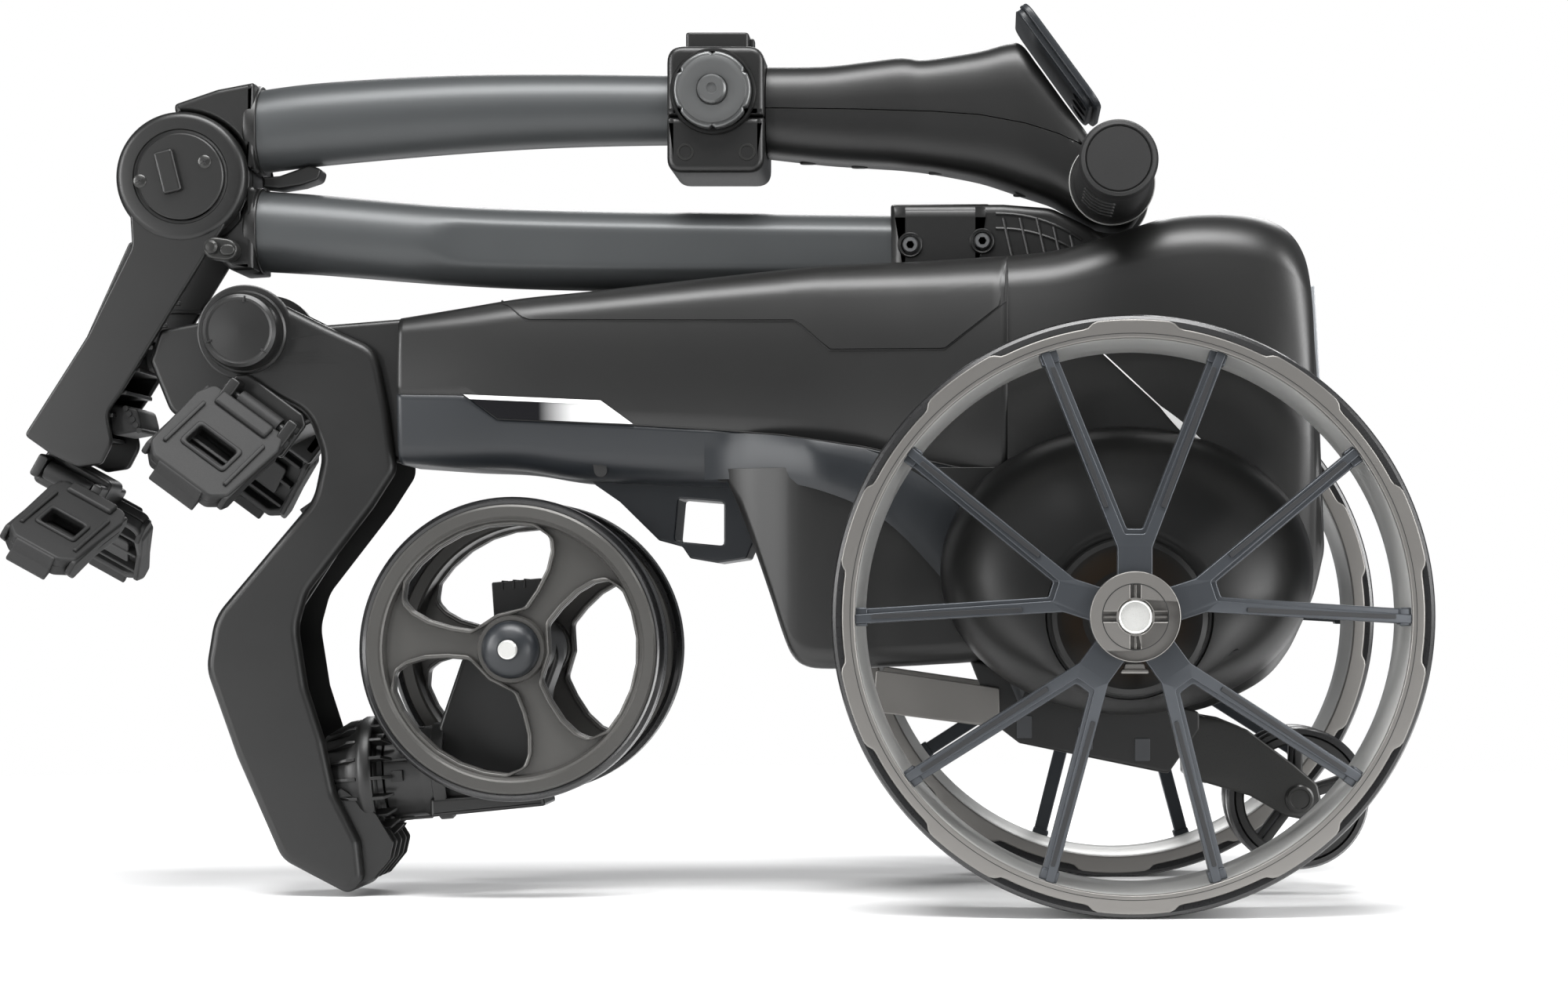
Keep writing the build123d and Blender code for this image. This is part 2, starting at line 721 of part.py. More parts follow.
# ---------------------------------------------------------------- bag arm
def make_bag_arm():
    cheek = [
        (-308.4, 359), (-308.4, 346.3), (-332.4, 300), (-366.1, 246), (-352.0, 236.0), (-336.0, 229.0),
        (-324, 232), (-319, 241.1), (-320, 260), (-313.5, 270.5), (-267.1, 346.3), (-258.7, 357),
    ]
    with BuildPart() as arm:
        with BuildSketch(Plane.XZ):
            with BuildLine():
                Polyline(*cheek, close=True)
            make_face()
            with Locations((HINGE_X, HINGE_Z)):
                Circle(HINGE_R)
        extrude(amount=30.0, both=True)
        with BuildSketch(Plane.XZ):
            with BuildLine():
                Polyline(
                    (-345, 420), (-345, 316), (-319.3, 316), (-328.5, 298), (-360, 247),
                    (-349, 240), (-330, 233), (-290, 233), (-240, 340), (-230, 420), close=True,
                )
            make_face()
        extrude(amount=26.0, both=True, mode=Mode.SUBTRACT)
        for z in (300, 280, 262):
            with BuildSketch(Plane.XZ):
                with Locations((-300 - (320 - z) * 0.62, z)):
                    Rectangle(30.0, 2.5, rotation=-20)
            extrude(amount=26.0, both=True)
        with BuildSketch(Plane.XZ):
            with BuildLine():
                Polyline(*cheek, close=True)
            make_face()
            with Locations((HINGE_X, HINGE_Z)):
                Circle(HINGE_R)
                Circle(HINGE_PIN_R + 0.02, mode=Mode.SUBTRACT)
        extrude(amount=30.0, both=True, mode=Mode.INTERSECT)
        with BuildSketch(Plane(origin=(UPPER_HINGE.X, 0, UPPER_HINGE.Z), z_dir=(0, -1, 0),
                               x_dir=upper_frame.x_dir)):
            Rectangle(UPPER_BARREL + 15, 19.0)
        extrude(amount=40.0, both=True, mode=Mode.SUBTRACT)
    return arm.part


with BuildPart() as bag_arm:
    add(make_bag_arm())
bag_arm.part.label = "bag_arm"
export_step(bag_arm.part, "parts/bag_arm.step")

with BuildPart() as hinge_cap_left:
    with BuildSketch(rail(30.0)):
        with Locations((HINGE_X, HINGE_Z)):
            Circle(23.3)
    extrude(amount=2.5)
    chamfer(hinge_cap_left.faces().sort_by(Axis.Y)[0].edges(), 0.6)
    key = Plane(origin=(-288.0, -32.5, 387.5), x_dir=(0.24, 0, -0.97), z_dir=(0, -1, 0))
    with BuildSketch(key) as key_face:
        Rectangle(22.0, 9.6)
        fillet(key_face.vertices(), 1.5)
    extrude(amount=3.0)
save_group("hinge_caps", hinge_cap_left.part)

LEVER_X, LEVER_Z = -238.0, 387.5
LEVER_BARREL_R = 2.6
with BuildPart() as latch_lever:
    add(prism([(-240, 389.6), (-211, 389.6), (-213, 386.6), (-240, 384.8)], 9.0, 1.0))
    with BuildSketch(Plane.XZ):
        with Locations((LEVER_X, LEVER_Z)):
            Circle(LEVER_BARREL_R)
    extrude(amount=10.5, both=True)
latch_lever.part.label = "latch_lever"
export_step(latch_lever.part, "parts/latch_lever.step")

# ---------------------------------------------------------------- collar and handle
ACCESSORY_BORE_R = 5.0
with BuildPart() as accessory_collar:
    with BuildSketch(Plane.YZ.offset(-22.0)) as collar_face:
        with Locations((0, 422.0)):
            Rectangle(60.0, 67.0)
            fillet(collar_face.vertices(), 9.0)
    extrude(amount=52.0)
    with BuildSketch(Plane.YZ.offset(-30.0)):
        with Locations((0, 425.0)):
            Circle(19.75)
    extrude(amount=70.0, mode=Mode.SUBTRACT)
    with BuildSketch(Plane.XY.offset(455.0)) as foot:
        with Locations((3.5, 0)):
            Rectangle(32.0, 26.0)
            fillet(foot.vertices(), 3.0)
    extrude(amount=10.5)
    with BuildSketch(Plane.XY.offset(447.5)):
        with Locations((3.5, 0)):
            Circle(ACCESSORY_BORE_R)
    extrude(amount=18.0, mode=Mode.SUBTRACT)
accessory_collar.part.label = "accessory_collar"
export_step(accessory_collar.part, "parts/accessory_collar.step")

KNOB_X, KNOB_Z = 2.9, 430.7
with BuildPart() as collar_knob:
    with BuildSketch(rail(30.3)):
        with Locations((KNOB_X, KNOB_Z)):
            Circle(20.0)
            with PolarLocations(21.5, 6):
                Circle(3.2, mode=Mode.SUBTRACT)
    extrude(amount=10.0)
    with BuildSketch(rail(40.3)):
        with Locations((KNOB_X, KNOB_Z)):
            Circle(7.0)
    extrude(amount=2.5)
    with BuildSketch(rail(40.0)):
        with Locations((KNOB_X, KNOB_Z)):
            RegularPolygon(2.6, 6)
    extrude(amount=4.0, mode=Mode.SUBTRACT)
collar_knob.part.label = "collar_knob"
export_step(collar_knob.part, "parts/collar_knob.step")

handle_top = [
    (30.5, 448.0), (61, 448.4), (86.5, 451.8), (105.5, 452.6), (124.5, 452.6), (158, 458), (166, 462),
    (197, 419.5), (208, 404),
]
handle_parting = [(206, 400.5), (187.5, 408.5), (145.5, 419), (82.6, 422.3), (30.5, 423.2)]
handle_bottom = [
    (30.5, 399.5), (65.5, 396), (107.6, 393), (145.5, 386.5), (179, 377.5), (190, 373.5), (200, 368.5),
    (212, 363), (222, 362), (231, 368), (236, 385), (226, 398), (208, 399),
]


def make_handle_half(outline):
    """A moulded half of the handle with a bore for the tube."""
    with BuildPart() as half:
        add(prism(outline, 32.0))
        with BuildSketch(Plane.XY.offset(340)):
            with BuildLine():
                Polyline((30.5, 22), (120, 24), (170, 32), (240, 32), (240, -32), (170, -32),
                         (120, -24), (30.5, -22), close=True)
            make_face()
        extrude(amount=160.0, mode=Mode.INTERSECT)
        add(prism([(33.5, 444), (100, 447), (155, 453), (160, 450), (200, 398), (200, 375), (180, 384),
                   (140, 393), (100, 399), (33.5, 404)], 19.0), mode=Mode.SUBTRACT)
        with BuildSketch(Plane.YZ.offset(20.0)):
            with Locations((0, 425.0)):
                Circle(19.2)
        extrude(amount=20.0, mode=Mode.SUBTRACT)
    return half.part


with BuildPart() as handle_upper:
    add(make_handle_half(handle_top + handle_parting))
handle_upper.part.label = "handle_upper"
export_step(handle_upper.part, "parts/handle_upper.step")

with BuildPart() as handle_lower:
    add(make_handle_half(handle_bottom + [(x, z - 0.4) for x, z in handle_parting]))
handle_lower.part.label = "handle_lower"
export_step(handle_lower.part, "parts/handle_lower.step")

CONSOLE = Plane(origin=(188.5, 0, 448.5), x_dir=(0.588, 0, -0.809), z_dir=(0.809, 0, 0.588))
with BuildPart() as console_bezel:
    with BuildSketch(CONSOLE) as bezel_face:
        Rectangle(69.0, 76.0)
        fillet(bezel_face.vertices(), 10.0)
    extrude(amount=3.5, both=True)
    with BuildSketch(CONSOLE.offset(1.0)) as glass_recess:
        with Locations((-8, 0)):
            Rectangle(44.0, 60.0)
            fillet(glass_recess.vertices(), 4.0)
    extrude(amount=5.0, mode=Mode.SUBTRACT)
    with BuildSketch(CONSOLE.offset(-1.5)):
        with Locations((24, -20), (24, 0), (24, 20)):
            Circle(5.4)
    extrude(amount=8.0, mode=Mode.SUBTRACT)
console_bezel.part.label = "console_bezel"
export_step(console_bezel.part, "parts/console_bezel.step")

with BuildPart() as display_glass:
    with BuildSketch(CONSOLE.offset(1.0)) as glass:
        with Locations((-8, 0)):
            Rectangle(43.6, 59.6)
            fillet(glass.vertices(), 3.8)
    extrude(amount=2.0)
display_glass.part.label = "display_glass"
export_step(display_glass.part, "parts/display_glass.step")

for place, name in ((-20, "button_slower"), (0, "button_power"), (20, "button_faster")):
    with BuildPart() as button:
        with BuildSketch(CONSOLE.offset(0.2)):
            with Locations((24, place)):
                Circle(5.1)
        extrude(amount=4.3)
        fillet(button.faces().sort_by(Axis.X)[-1].edges(), 0.6)
    button.part.label = name
    export_step(button.part, "parts/" + name + ".step")

GRIP_X, GRIP_Z = 216.0, 381.5
with BuildPart() as grip_left:
    with BuildSketch(rail(34.0)):
        with Locations((GRIP_X, GRIP_Z)):
            Circle(21.8)
    extrude(amount=4.0)
    with BuildSketch(rail(38.0), rail(122.0)):
        with Locations((GRIP_X, GRIP_Z)):
            Circle(17.5)
    loft()
    with BuildSketch(rail(122.0)):
        with Locations((GRIP_X, GRIP_Z)):
            Circle(17.5)
    extrude(amount=6.0)
    fillet(grip_left.faces().sort_by(Axis.Y)[0].edges(), 1.5)
save_group("grips", grip_left.part)


# ---------------------------------------------------------------- chassis
body_outline = [
    (-163, 233), (-163, 309.8), (-139, 314.2), (-106, 319.2), (-56.3, 324.5), (1.4, 331.1),
    (46.7, 336.1), (100.3, 338.5), (FRAME_SPLIT_X, 341), (FRAME_SPLIT_X, 205), (112, 214), (15, 219),
]
rear_outline = [
    (FRAME_SPLIT_X, 341), (182.7, 343), (199, 347), (224, 354.6), (244.6, 360.8), (261, 362.8),
    (285.8, 362.8), (306.4, 356.7), (316.7, 344.3), (319.6, 332), (323, 280), (327, 185.6),
    (325.8, 167), (322.9, 156.7), (306.4, 123.8), (290, 111.4), (273.4, 103.2), (248.7, 97),
    (224, 95.7), (175, 118), (FRAME_SPLIT_X, 205),
]
body_plan = [(-163, 44), (-60, 50), (60, 58), (FRAME_SPLIT_X, 78)]
rear_plan = [(FRAME_SPLIT_X, 78), (185, BODY_HALF_REAR), (300, BODY_HALF_REAR), (327.5, 74)]
slot_outline = [
    (-45, 430), (-45, 321), (176, 321), (180, 312), (190, 307.5), (216, 307.5), (232, 309),
    (275, 370), (318, 430),
]
split_line = [
    (-170, 268.4), (-127, 267.6), (-110, 254.7), (-38, 251.4), (9, 248.5), (42, 245.6), (84, 239.4),
    (FRAME_SPLIT_X + 1, 222),
]
FAR_ABOVE, FAR_BELOW = 500.0, 0.0


def outline_solid(outline, plan, inset):
    """A casing block: side outline and plan outline, both drawn in by inset."""
    across = plan + [(x, -y) for x, y in reversed(plan)]
    with BuildPart() as solid:
        with BuildSketch(Plane.XZ):
            with BuildLine():
                Polyline(*outline, close=True)
            make_face()
            if inset:
                offset(amount=-inset, kind=Kind.INTERSECTION)
        extrude(amount=120.0, both=True)
        with BuildSketch(Plane.XY):
            with BuildLine():
                Polyline(*across, close=True)
            make_face()
            if inset:
                offset(amount=-inset, kind=Kind.INTERSECTION)
        extrude(amount=FAR_ABOVE, mode=Mode.INTERSECT)
    return solid.part


def casing(outline, plan):
    """A hollow casing with a walled slot for the folding stem."""
    with BuildPart() as cavity:
        add(outline_solid(outline, plan, WALL))
        with BuildSketch(Plane.XZ):
            with BuildLine():
                Polyline(*slot_outline, close=True)
            make_face()
            offset(amount=WALL, kind=Kind.INTERSECTION)
        extrude(amount=SLOT_HALF + WALL, both=True, mode=Mode.SUBTRACT)
    with BuildPart() as shell:
        add(outline_solid(outline, plan, 0.0))
        add(prism(slot_outline, SLOT_HALF), mode=Mode.SUBTRACT)
        add(cavity.part, mode=Mode.SUBTRACT)
        with BuildSketch(Plane.XZ):
            with Locations((STEM_X, STEM_Z)):
                Circle(STEM_PIN_R + 0.02)
        extrude(amount=33.0, both=True, mode=Mode.SUBTRACT)
        with BuildSketch(Plane.XZ):
            with Locations((AXLE_X, AXLE_Z)):
                Circle(13.0)
        extrude(amount=100.0, both=True, mode=Mode.SUBTRACT)
    return shell.part


def region(line, level):
    return line + [(line[-1][0], level), (line[0][0], level)]


battery_box = [(10, 205), (46, 128), (50, 122), (68, 121), (150, 129), (174.5, 145), (174.5, 240), (10, 240)]

with BuildPart() as upper_shell:
    add(casing(body_outline, body_plan))
    add(prism(region(split_line, FAR_ABOVE), 130.0), mode=Mode.INTERSECT)
upper_shell.part.label = "upper_shell"
export_step(upper_shell.part, "parts/upper_shell.step")

window_outline = [
    (-64, 221.5), (-47.9, 211.5), (-26.9, 191.5), (-14.3, 187.6), (-10.1, 181.2), (4.6, 178.7),
    (19, 181), (8.2, 204), (8.2, 220.5),
]

with BuildPart() as lower_shell:
    add(casing(body_outline, body_plan))
    add(prism(region(split_line, FAR_BELOW), 130.0), mode=Mode.INTERSECT)
    add(prism(window_outline, 22.0))
    add(prism([(-18.5, 190.5), (-16.4, 213.6), (7.0, 211.5), (7.0, 188)], 30.0), mode=Mode.SUBTRACT)
    add(prism([(20, 190), (20, 230), (150, 230), (150, 190)], 40.0), mode=Mode.SUBTRACT)
lower_shell.part.label = "lower_shell"
export_step(lower_shell.part, "parts/lower_shell.step")

with BuildPart() as rear_housing:
    add(casing(rear_outline, rear_plan))
rear_housing.part.label = "rear_housing"
export_step(rear_housing.part, "parts/rear_housing.step")

with BuildPart() as electronics_covers:
    cover = [(-105, 313), (-92, 308), (48.9, 307), (66.6, 291.5), (127, 291.5), (156, 314.4), (156, 330),
             (46, 327), (-56, 316)]
    with BuildSketch(Plane.XZ):
        with BuildLine():
            Polyline(*cover, close=True)
        make_face()
    extrude(amount=120.0, both=True)
    add(outline_solid(body_outline, [(x, y + 1.2) for x, y in body_plan], 0.0), mode=Mode.INTERSECT)
    add(outline_solid(body_outline, [(x, y + 0.1) for x, y in body_plan], 0.0), mode=Mode.SUBTRACT)
electronics_covers.part.label = "electronics_covers"
export_step(electronics_covers.part, "parts/electronics_covers.step")

battery_plan = [(0, 62), (60, 66), (174.5, 74)]
with BuildPart() as battery_housing:
    add(outline_solid(battery_box, battery_plan, 0.0))
    add(outline_solid(battery_box, battery_plan, WALL), mode=Mode.SUBTRACT)
    add(outline_solid(body_outline, [(x, y + 0.3) for x, y in body_plan], 0.0), mode=Mode.SUBTRACT)
    add(outline_solid(rear_outline, [(x, y + 0.3) for x, y in rear_plan], 0.0), mode=Mode.SUBTRACT)
    with BuildSketch(Plane.XY):
        Rectangle(800.0, 300.0)
    extrude(amount=204.0, mode=Mode.INTERSECT)
battery_housing.part.label = "battery_housing"
export_step(battery_housing.part, "parts/battery_housing.step")

with BuildPart() as battery_pack:
    add(prism([(58, 128), (58, 196), (142, 196), (142, 132)], 55.0, 3.0))
battery_pack.part.label = "battery_pack"
export_step(battery_pack.part, "parts/battery_pack.step")

with BuildPart() as controller_board:
    add(prism([(-30, 285), (-30, 287), (120, 287), (120, 285)], 40.0))
    add(prism([(20, 287), (20, 297), (60, 297), (60, 287)], 15.0))
controller_board.part.label = "controller_board"
export_step(controller_board.part, "parts/controller_board.step")

POD_X, POD_Z = 222.0, 174.0
with BuildPart() as pod_left:
    with BuildSketch(rail(BODY_HALF_REAR + 0.2)):
        with Locations((POD_X, POD_Z)):
            Ellipse(98.0, 76.0)
    with BuildSketch(rail(102.0)):
        with Locations((POD_X, POD_Z - 4)):
            Ellipse(84.0, 64.0)
    with BuildSketch(rail(118.0)):
        with Locations((POD_X, POD_Z - 18)):
            Ellipse(54.0, 48.0)
    loft()
    with BuildSketch(rail(80.0)):
        with Locations((AXLE_X, AXLE_Z)):
            Circle(13.0)
    extrude(amount=60.0, mode=Mode.SUBTRACT)

with BuildPart() as motor_cap_left:
    with BuildSketch(rail(118.2)):
        with Locations((AXLE_X, AXLE_Z)):
            Circle(MOTOR_CAP_R)
    extrude(amount=14.0)
    fillet(motor_cap_left.faces().sort_by(Axis.Y)[0].edges(), 5.0)
    with BuildSketch(rail(110.0)):
        with Locations((AXLE_X, AXLE_Z)):
            Circle(13.0)
    extrude(amount=40.0, mode=Mode.SUBTRACT)
save_group("motor_pods", pod_left.part + motor_cap_left.part)

with BuildPart() as bearing_left:
    with BuildSketch(rail(84.0)):
        with Locations((AXLE_X, AXLE_Z)):
            Circle(12.95)
            Circle(AXLE_R + RUNNING, mode=Mode.SUBTRACT)
    extrude(amount=46.0)
save_group("axle_bearings", bearing_left.part)

with BuildPart() as motor_left:
    with BuildSketch(rail(8.0)):
        with Locations((AXLE_X, AXLE_Z)):
            Circle(38.0)
    extrude(amount=51.0)
save_group("motors", motor_left.part)

nose_outline = [
    (-300, 286), (-294, 303.8), (-270, 308.4), (-247, 315), (-205, 306), (-163.3, 309.6),
    (-163.3, 231.5), (-190, 240), (-197, 256), (-212, 254.5), (-235, 243.5), (-262, 245), (-289, 260),
]
with BuildPart() as nose_bracket:
    add(prism(nose_outline, 25.5, 2.0))
    with BuildSketch(Plane.XZ):
        with Locations((LEG_X, LEG_Z)):
            Circle(LEG_PIN_R + 0.02)
    extrude(amount=40.0, both=True, mode=Mode.SUBTRACT)
nose_bracket.part.label = "nose_bracket"
export_step(nose_bracket.part, "parts/nose_bracket.step")

bracket_outline = [
    (139.5, 126), (153.9, 92.9), (166.3, 83.4), (244.6, 67.3), (261, 90.8), (261, 98.4), (248.7, 96.4),
    (224, 95), (176, 116), (168, 117.5), (150, 128),
]
with BuildPart() as rear_bracket:
    add(prism(bracket_outline, 60.0))
    with BuildSketch(rail(54.0)):
        with Locations((169, 91), (201, 86), (231, 81)):
            Rectangle(8.0, 13.0)
    extrude(amount=10.0, mode=Mode.SUBTRACT)
    add(side_plate([(92, 120.0), (141, 113.2), (165, 110), (165, 92), (149, 94), (90.3, 100.2)], 55.0, 60.0))
    mirror(side_plate([(92, 120), (165, 110), (165, 92), (90.3, 100.2)], 55.0, 60.0), about=Plane.XZ)
rear_bracket.part.label = "rear_bracket"
export_step(rear_bracket.part, "parts/rear_bracket.step")

antitip_outline = [
    (262.5, 92), (276, 94.5), (288.5, 89.5), (313.8, 70.6), (326.4, 60), (328.5, 50), (320, 41),
    (309.6, 43), (290, 54), (262.5, 62),
]
with BuildPart() as antitip_arm_left:
    add(side_plate(antitip_outline, 26.0, 30.0, 2.0))
    add(side_plate([(262.5, 92), (272, 92), (272, 62), (262.5, 62)], 0.0, 26.0))
    with BuildSketch(rail(20.0)):
        with Locations((ANTITIP_X, ANTITIP_Z)):
            Circle(4.02)
    extrude(amount=20.0, mode=Mode.SUBTRACT)
with BuildPart() as antitip_frame:
    add(antitip_arm_left.part)
    mirror(antitip_arm_left.part, about=Plane.XZ)
    with BuildSketch(Plane.XZ):
        with Locations((ANTITIP_X, ANTITIP_Z)):
            Circle(4.0)
    extrude(amount=33.0, both=True)
antitip_frame.part.label = "antitip_frame"
export_step(antitip_frame.part, "parts/antitip_frame.step")

with BuildPart() as antitip_wheels:
    with BuildSketch(Plane.XZ):
        with Locations((ANTITIP_X, ANTITIP_Z)):
            Circle(9.0)
    extrude(amount=25.0, both=True)
    with BuildSketch(rail(10.0), rail(-22.0)):
        with Locations((ANTITIP_X, ANTITIP_Z)):
            Circle(34.5)
            Circle(29.0, mode=Mode.SUBTRACT)
            with PolarLocations(19.0, 5):
                Rectangle(22.0, 5.0)
    extrude(amount=12.0)
    with BuildSketch(Plane.XZ):
        with Locations((ANTITIP_X, ANTITIP_Z)):
            Circle(4.0 + RUNNING)
    extrude(amount=40.0, both=True, mode=Mode.SUBTRACT)
antitip_wheels.part.label = "antitip_wheels"
export_step(antitip_wheels.part, "parts/antitip_wheels.step")

with BuildPart() as antitip_tyres:
    with BuildSketch(rail(9.0), rail(-23.0)):
        with Locations((ANTITIP_X, ANTITIP_Z)):
            Circle(ANTITIP_R)
            Circle(34.6, mode=Mode.SUBTRACT)
    extrude(amount=14.0)
    outer_edges = antitip_tyres.edges().filter_by(GeomType.CIRCLE).filter_by(lambda e: e.radius > 38)
    fillet(outer_edges, 2.0)
antitip_tyres.part.label = "antitip_tyres"
export_step(antitip_tyres.part, "parts/antitip_tyres.step")

with BuildPart() as rear_light:
    add(prism([(321.0, 325), (324.0, 325), (327.6, 262), (324.6, 262)], 30.0))
rear_light.part.label = "rear_light"
export_step(rear_light.part, "parts/rear_light.step")
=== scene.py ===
from math import asin, cos, hypot, pi, radians, sin, sqrt

import bmesh
import bpy
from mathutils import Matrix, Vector


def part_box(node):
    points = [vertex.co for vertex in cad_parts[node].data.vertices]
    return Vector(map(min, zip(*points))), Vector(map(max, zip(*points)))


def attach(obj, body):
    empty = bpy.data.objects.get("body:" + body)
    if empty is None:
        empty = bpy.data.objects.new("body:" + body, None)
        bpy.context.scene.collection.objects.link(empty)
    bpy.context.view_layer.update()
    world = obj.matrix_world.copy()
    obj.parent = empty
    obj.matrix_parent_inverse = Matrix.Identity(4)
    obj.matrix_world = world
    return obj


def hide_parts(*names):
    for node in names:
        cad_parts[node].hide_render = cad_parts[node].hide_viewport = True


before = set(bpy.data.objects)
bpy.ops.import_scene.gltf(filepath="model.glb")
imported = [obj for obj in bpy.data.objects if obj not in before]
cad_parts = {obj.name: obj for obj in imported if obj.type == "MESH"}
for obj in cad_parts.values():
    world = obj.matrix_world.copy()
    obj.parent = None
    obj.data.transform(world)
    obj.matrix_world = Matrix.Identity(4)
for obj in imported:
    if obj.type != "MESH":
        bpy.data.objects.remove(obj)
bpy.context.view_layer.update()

# Electric golf trolley, folded. Shapes are worked out in millimetres in the frame's own
# axes: +Z up, front of the trolley towards -X, left side towards -Y.
MM = 0.001


# ---------------------------------------------------------------- places from the frame
def middle(node):
    """Centre of a CAD node in millimetres."""
    low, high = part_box(node)
    return (low + high) / 2 / MM


def extent(node):
    """Lowest and highest corner of a CAD node in millimetres."""
    low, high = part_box(node)
    return low / MM, high / MM


REAR = middle("rear_tyre_left")
FRONT = middle("front_tyre_left")
HINGE = middle("hinge_caps")
LEG = middle("leg_caps")
ANTITIP = middle("antitip_tyres")
KNOB = middle("collar_knob")
TYRE_R = (extent("rear_tyre_left")[1].x - extent("rear_tyre_left")[0].x) / 2
FRONT_R = (extent("front_tyre_left")[1].x - extent("front_tyre_left")[0].x) / 2
ANTITIP_R = (extent("antitip_tyres")[1].x - extent("antitip_tyres")[0].x) / 2


# ---------------------------------------------------------------- geometry kit
class Place:
    """A local frame: u and v span a drawing plane and w points out of it."""

    def __init__(self, origin, u, v, w):
        self.origin = Vector(origin)
        self.u = Vector(u)
        self.v = Vector(v)
        self.w = Vector(w)

    def at(self, u, v, w):
        return self.origin + self.u * u + self.v * v + self.w * w


def side_place(x=0.0, z=0.0, out=0.0):
    """Side view plane: u back, v up, w towards the left side, starting out from the middle."""
    return Place((x, -out, z), (1, 0, 0), (0, 0, 1), (0, -1, 0))


def level_place(z):
    """Level plane: u back, v to the right, w up."""
    return Place((0, 0, z), (1, 0, 0), (0, 1, 0), (0, 0, 1))


SIDE = side_place()


class Shape:
    """Points in millimetres and the faces between them."""

    def __init__(self):
        self.points = []
        self.faces = []

    def add(self, points, faces):
        start = len(self.points)
        self.points += [Vector(p) for p in points]
        self.faces += [tuple(start + i for i in face) for face in faces]
        return self

    def join(self, *others):
        for other in others:
            self.add(other.points, other.faces)
        return self

    def moved(self, change):
        made = Shape()
        return made.add([change(p) for p in self.points], self.faces)

    def mirrored(self):
        return self.moved(lambda p: Vector((p.x, -p.y, p.z)))

    def on_both_sides(self):
        return Shape().join(self, self.mirrored())

    def for_side(self, name):
        """Shapes are drawn on the left; the right one is the mirror image."""
        return self.mirrored() if name == "right" else self


def skin(rows, closed=True, caps=True):
    """A surface through rows of points with the same count."""
    count = len(rows[0])
    faces = []
    for row in range(len(rows) - 1):
        for i in range(count if closed else count - 1):
            j = (i + 1) % count
            faces.append((row * count + i, row * count + j, (row + 1) * count + j, (row + 1) * count + i))
    if caps:
        faces.append(tuple(range(count)))
        faces.append(tuple((len(rows) - 1) * count + i for i in range(count)))
    return Shape().add([p for row in rows for p in row], faces)


def turned(profile, place, steps=72, closed=False):
    """Solid of revolution about a place's w axis through (radius, distance) points."""
    rows = []
    for radius, along in profile + profile[:1] * closed:
        angles = [2 * pi * i / steps for i in range(steps)]
        rows.append([place.at(radius * cos(a), radius * sin(a), along) for a in angles])
    return skin(rows, caps=not closed)


def plate(outlines, place, low, high, edge=0.8, resolution=2):
    """Plate with rounded edges; the first outline is its rim and the others are holes."""
    curve = bpy.data.curves.new("plate", "CURVE")
    curve.dimensions = "2D"
    curve.fill_mode = "BOTH"
    curve.extrude = (high - low) / 2 - edge
    curve.bevel_depth = edge
    curve.bevel_resolution = resolution
    curve.offset = -edge
    for outline in outlines:
        spline = curve.splines.new("POLY")
        spline.points.add(len(outline) - 1)
        for point, (u, v) in zip(spline.points, outline):
            point.co = (u, v, 0, 1)
        spline.use_cyclic_u = True
    drawn = bpy.data.objects.new("plate", curve)
    mesh = bpy.data.meshes.new_from_object(drawn)
    centre = (low + high) / 2
    points = [place.at(p.co.x, p.co.y, centre + p.co.z) for p in mesh.vertices]
    shape = Shape().add(points, [tuple(face.vertices) for face in mesh.polygons])
    bpy.data.objects.remove(drawn)
    bpy.data.curves.remove(curve)
    bpy.data.meshes.remove(mesh)
    return shape


def prism(outline, place, low, high):
    """Sharp-edged block, used to cut."""
    rows = [[place.at(u, v, w) for u, v in outline] for w in (low, high)]
    return skin(rows)


def rounded(corners, radius, steps=5):
    """Outline with each corner rounded; a corner may carry its own radius."""
    made = []
    count = len(corners)
    for i, corner in enumerate(corners):
        here = Vector(corner[:2])
        back = Vector(corners[i - 1][:2]) - here
        ahead = Vector(corners[(i + 1) % count][:2]) - here
        own = corner[2] if len(corner) > 2 else radius
        turn = back.angle(ahead, pi)
        reach = min(own / max(sin(turn / 2) / max(cos(turn / 2), 0.05), 0.05), back.length * 0.48,
                    ahead.length * 0.48)
        start = here + back.normalized() * reach
        end = here + ahead.normalized() * reach
        for step in range(steps + 1):
            t = step / steps
            made.append(tuple(start * (1 - t) ** 2 + here * 2 * t * (1 - t) + end * t ** 2))
    return made


def circle(radius, u=0.0, v=0.0, steps=48, start=0.0):
    return [(u + radius * cos(start + 2 * pi * i / steps), v + radius * sin(start + 2 * pi * i / steps))
            for i in range(steps)]


def slot(length, width, u=0.0, v=0.0, angle=0.0):
    """Round-ended slot outline."""
    half = (length - width) / 2
    made = []
    for end, start in ((half, -pi / 2), (-half, pi / 2)):
        for i in range(9):
            a = start + pi * i / 8
            x, y = end + cos(a) * width / 2, sin(a) * width / 2
            made.append((u + x * cos(angle) - y * sin(angle), v + x * sin(angle) + y * cos(angle)))
    return made


def box_outline(width, height, u=0.0, v=0.0, radius=2.0):
    w, h = width / 2, height / 2
    return rounded([(u - w, v - h), (u + w, v - h), (u + w, v + h), (u - w, v + h)], radius)


def through(knots, steps=8):
    """Smooth rows through knots, each a tuple of numbers."""
    made = []
    for i in range(len(knots) - 1):
        before = knots[max(i - 1, 0)]
        after = knots[min(i + 2, len(knots) - 1)]
        for step in range(steps):
            t = step / steps
            row = []
            for a, b, c, d in zip(before, knots[i], knots[i + 1], after):
                bend = 2 * a - 5 * b + 4 * c - d + t * (3 * (b - c) + d - a)
                row.append(b + 0.5 * t * (c - a + t * bend))
            made.append(tuple(row))
    made.append(tuple(knots[-1]))
    return made


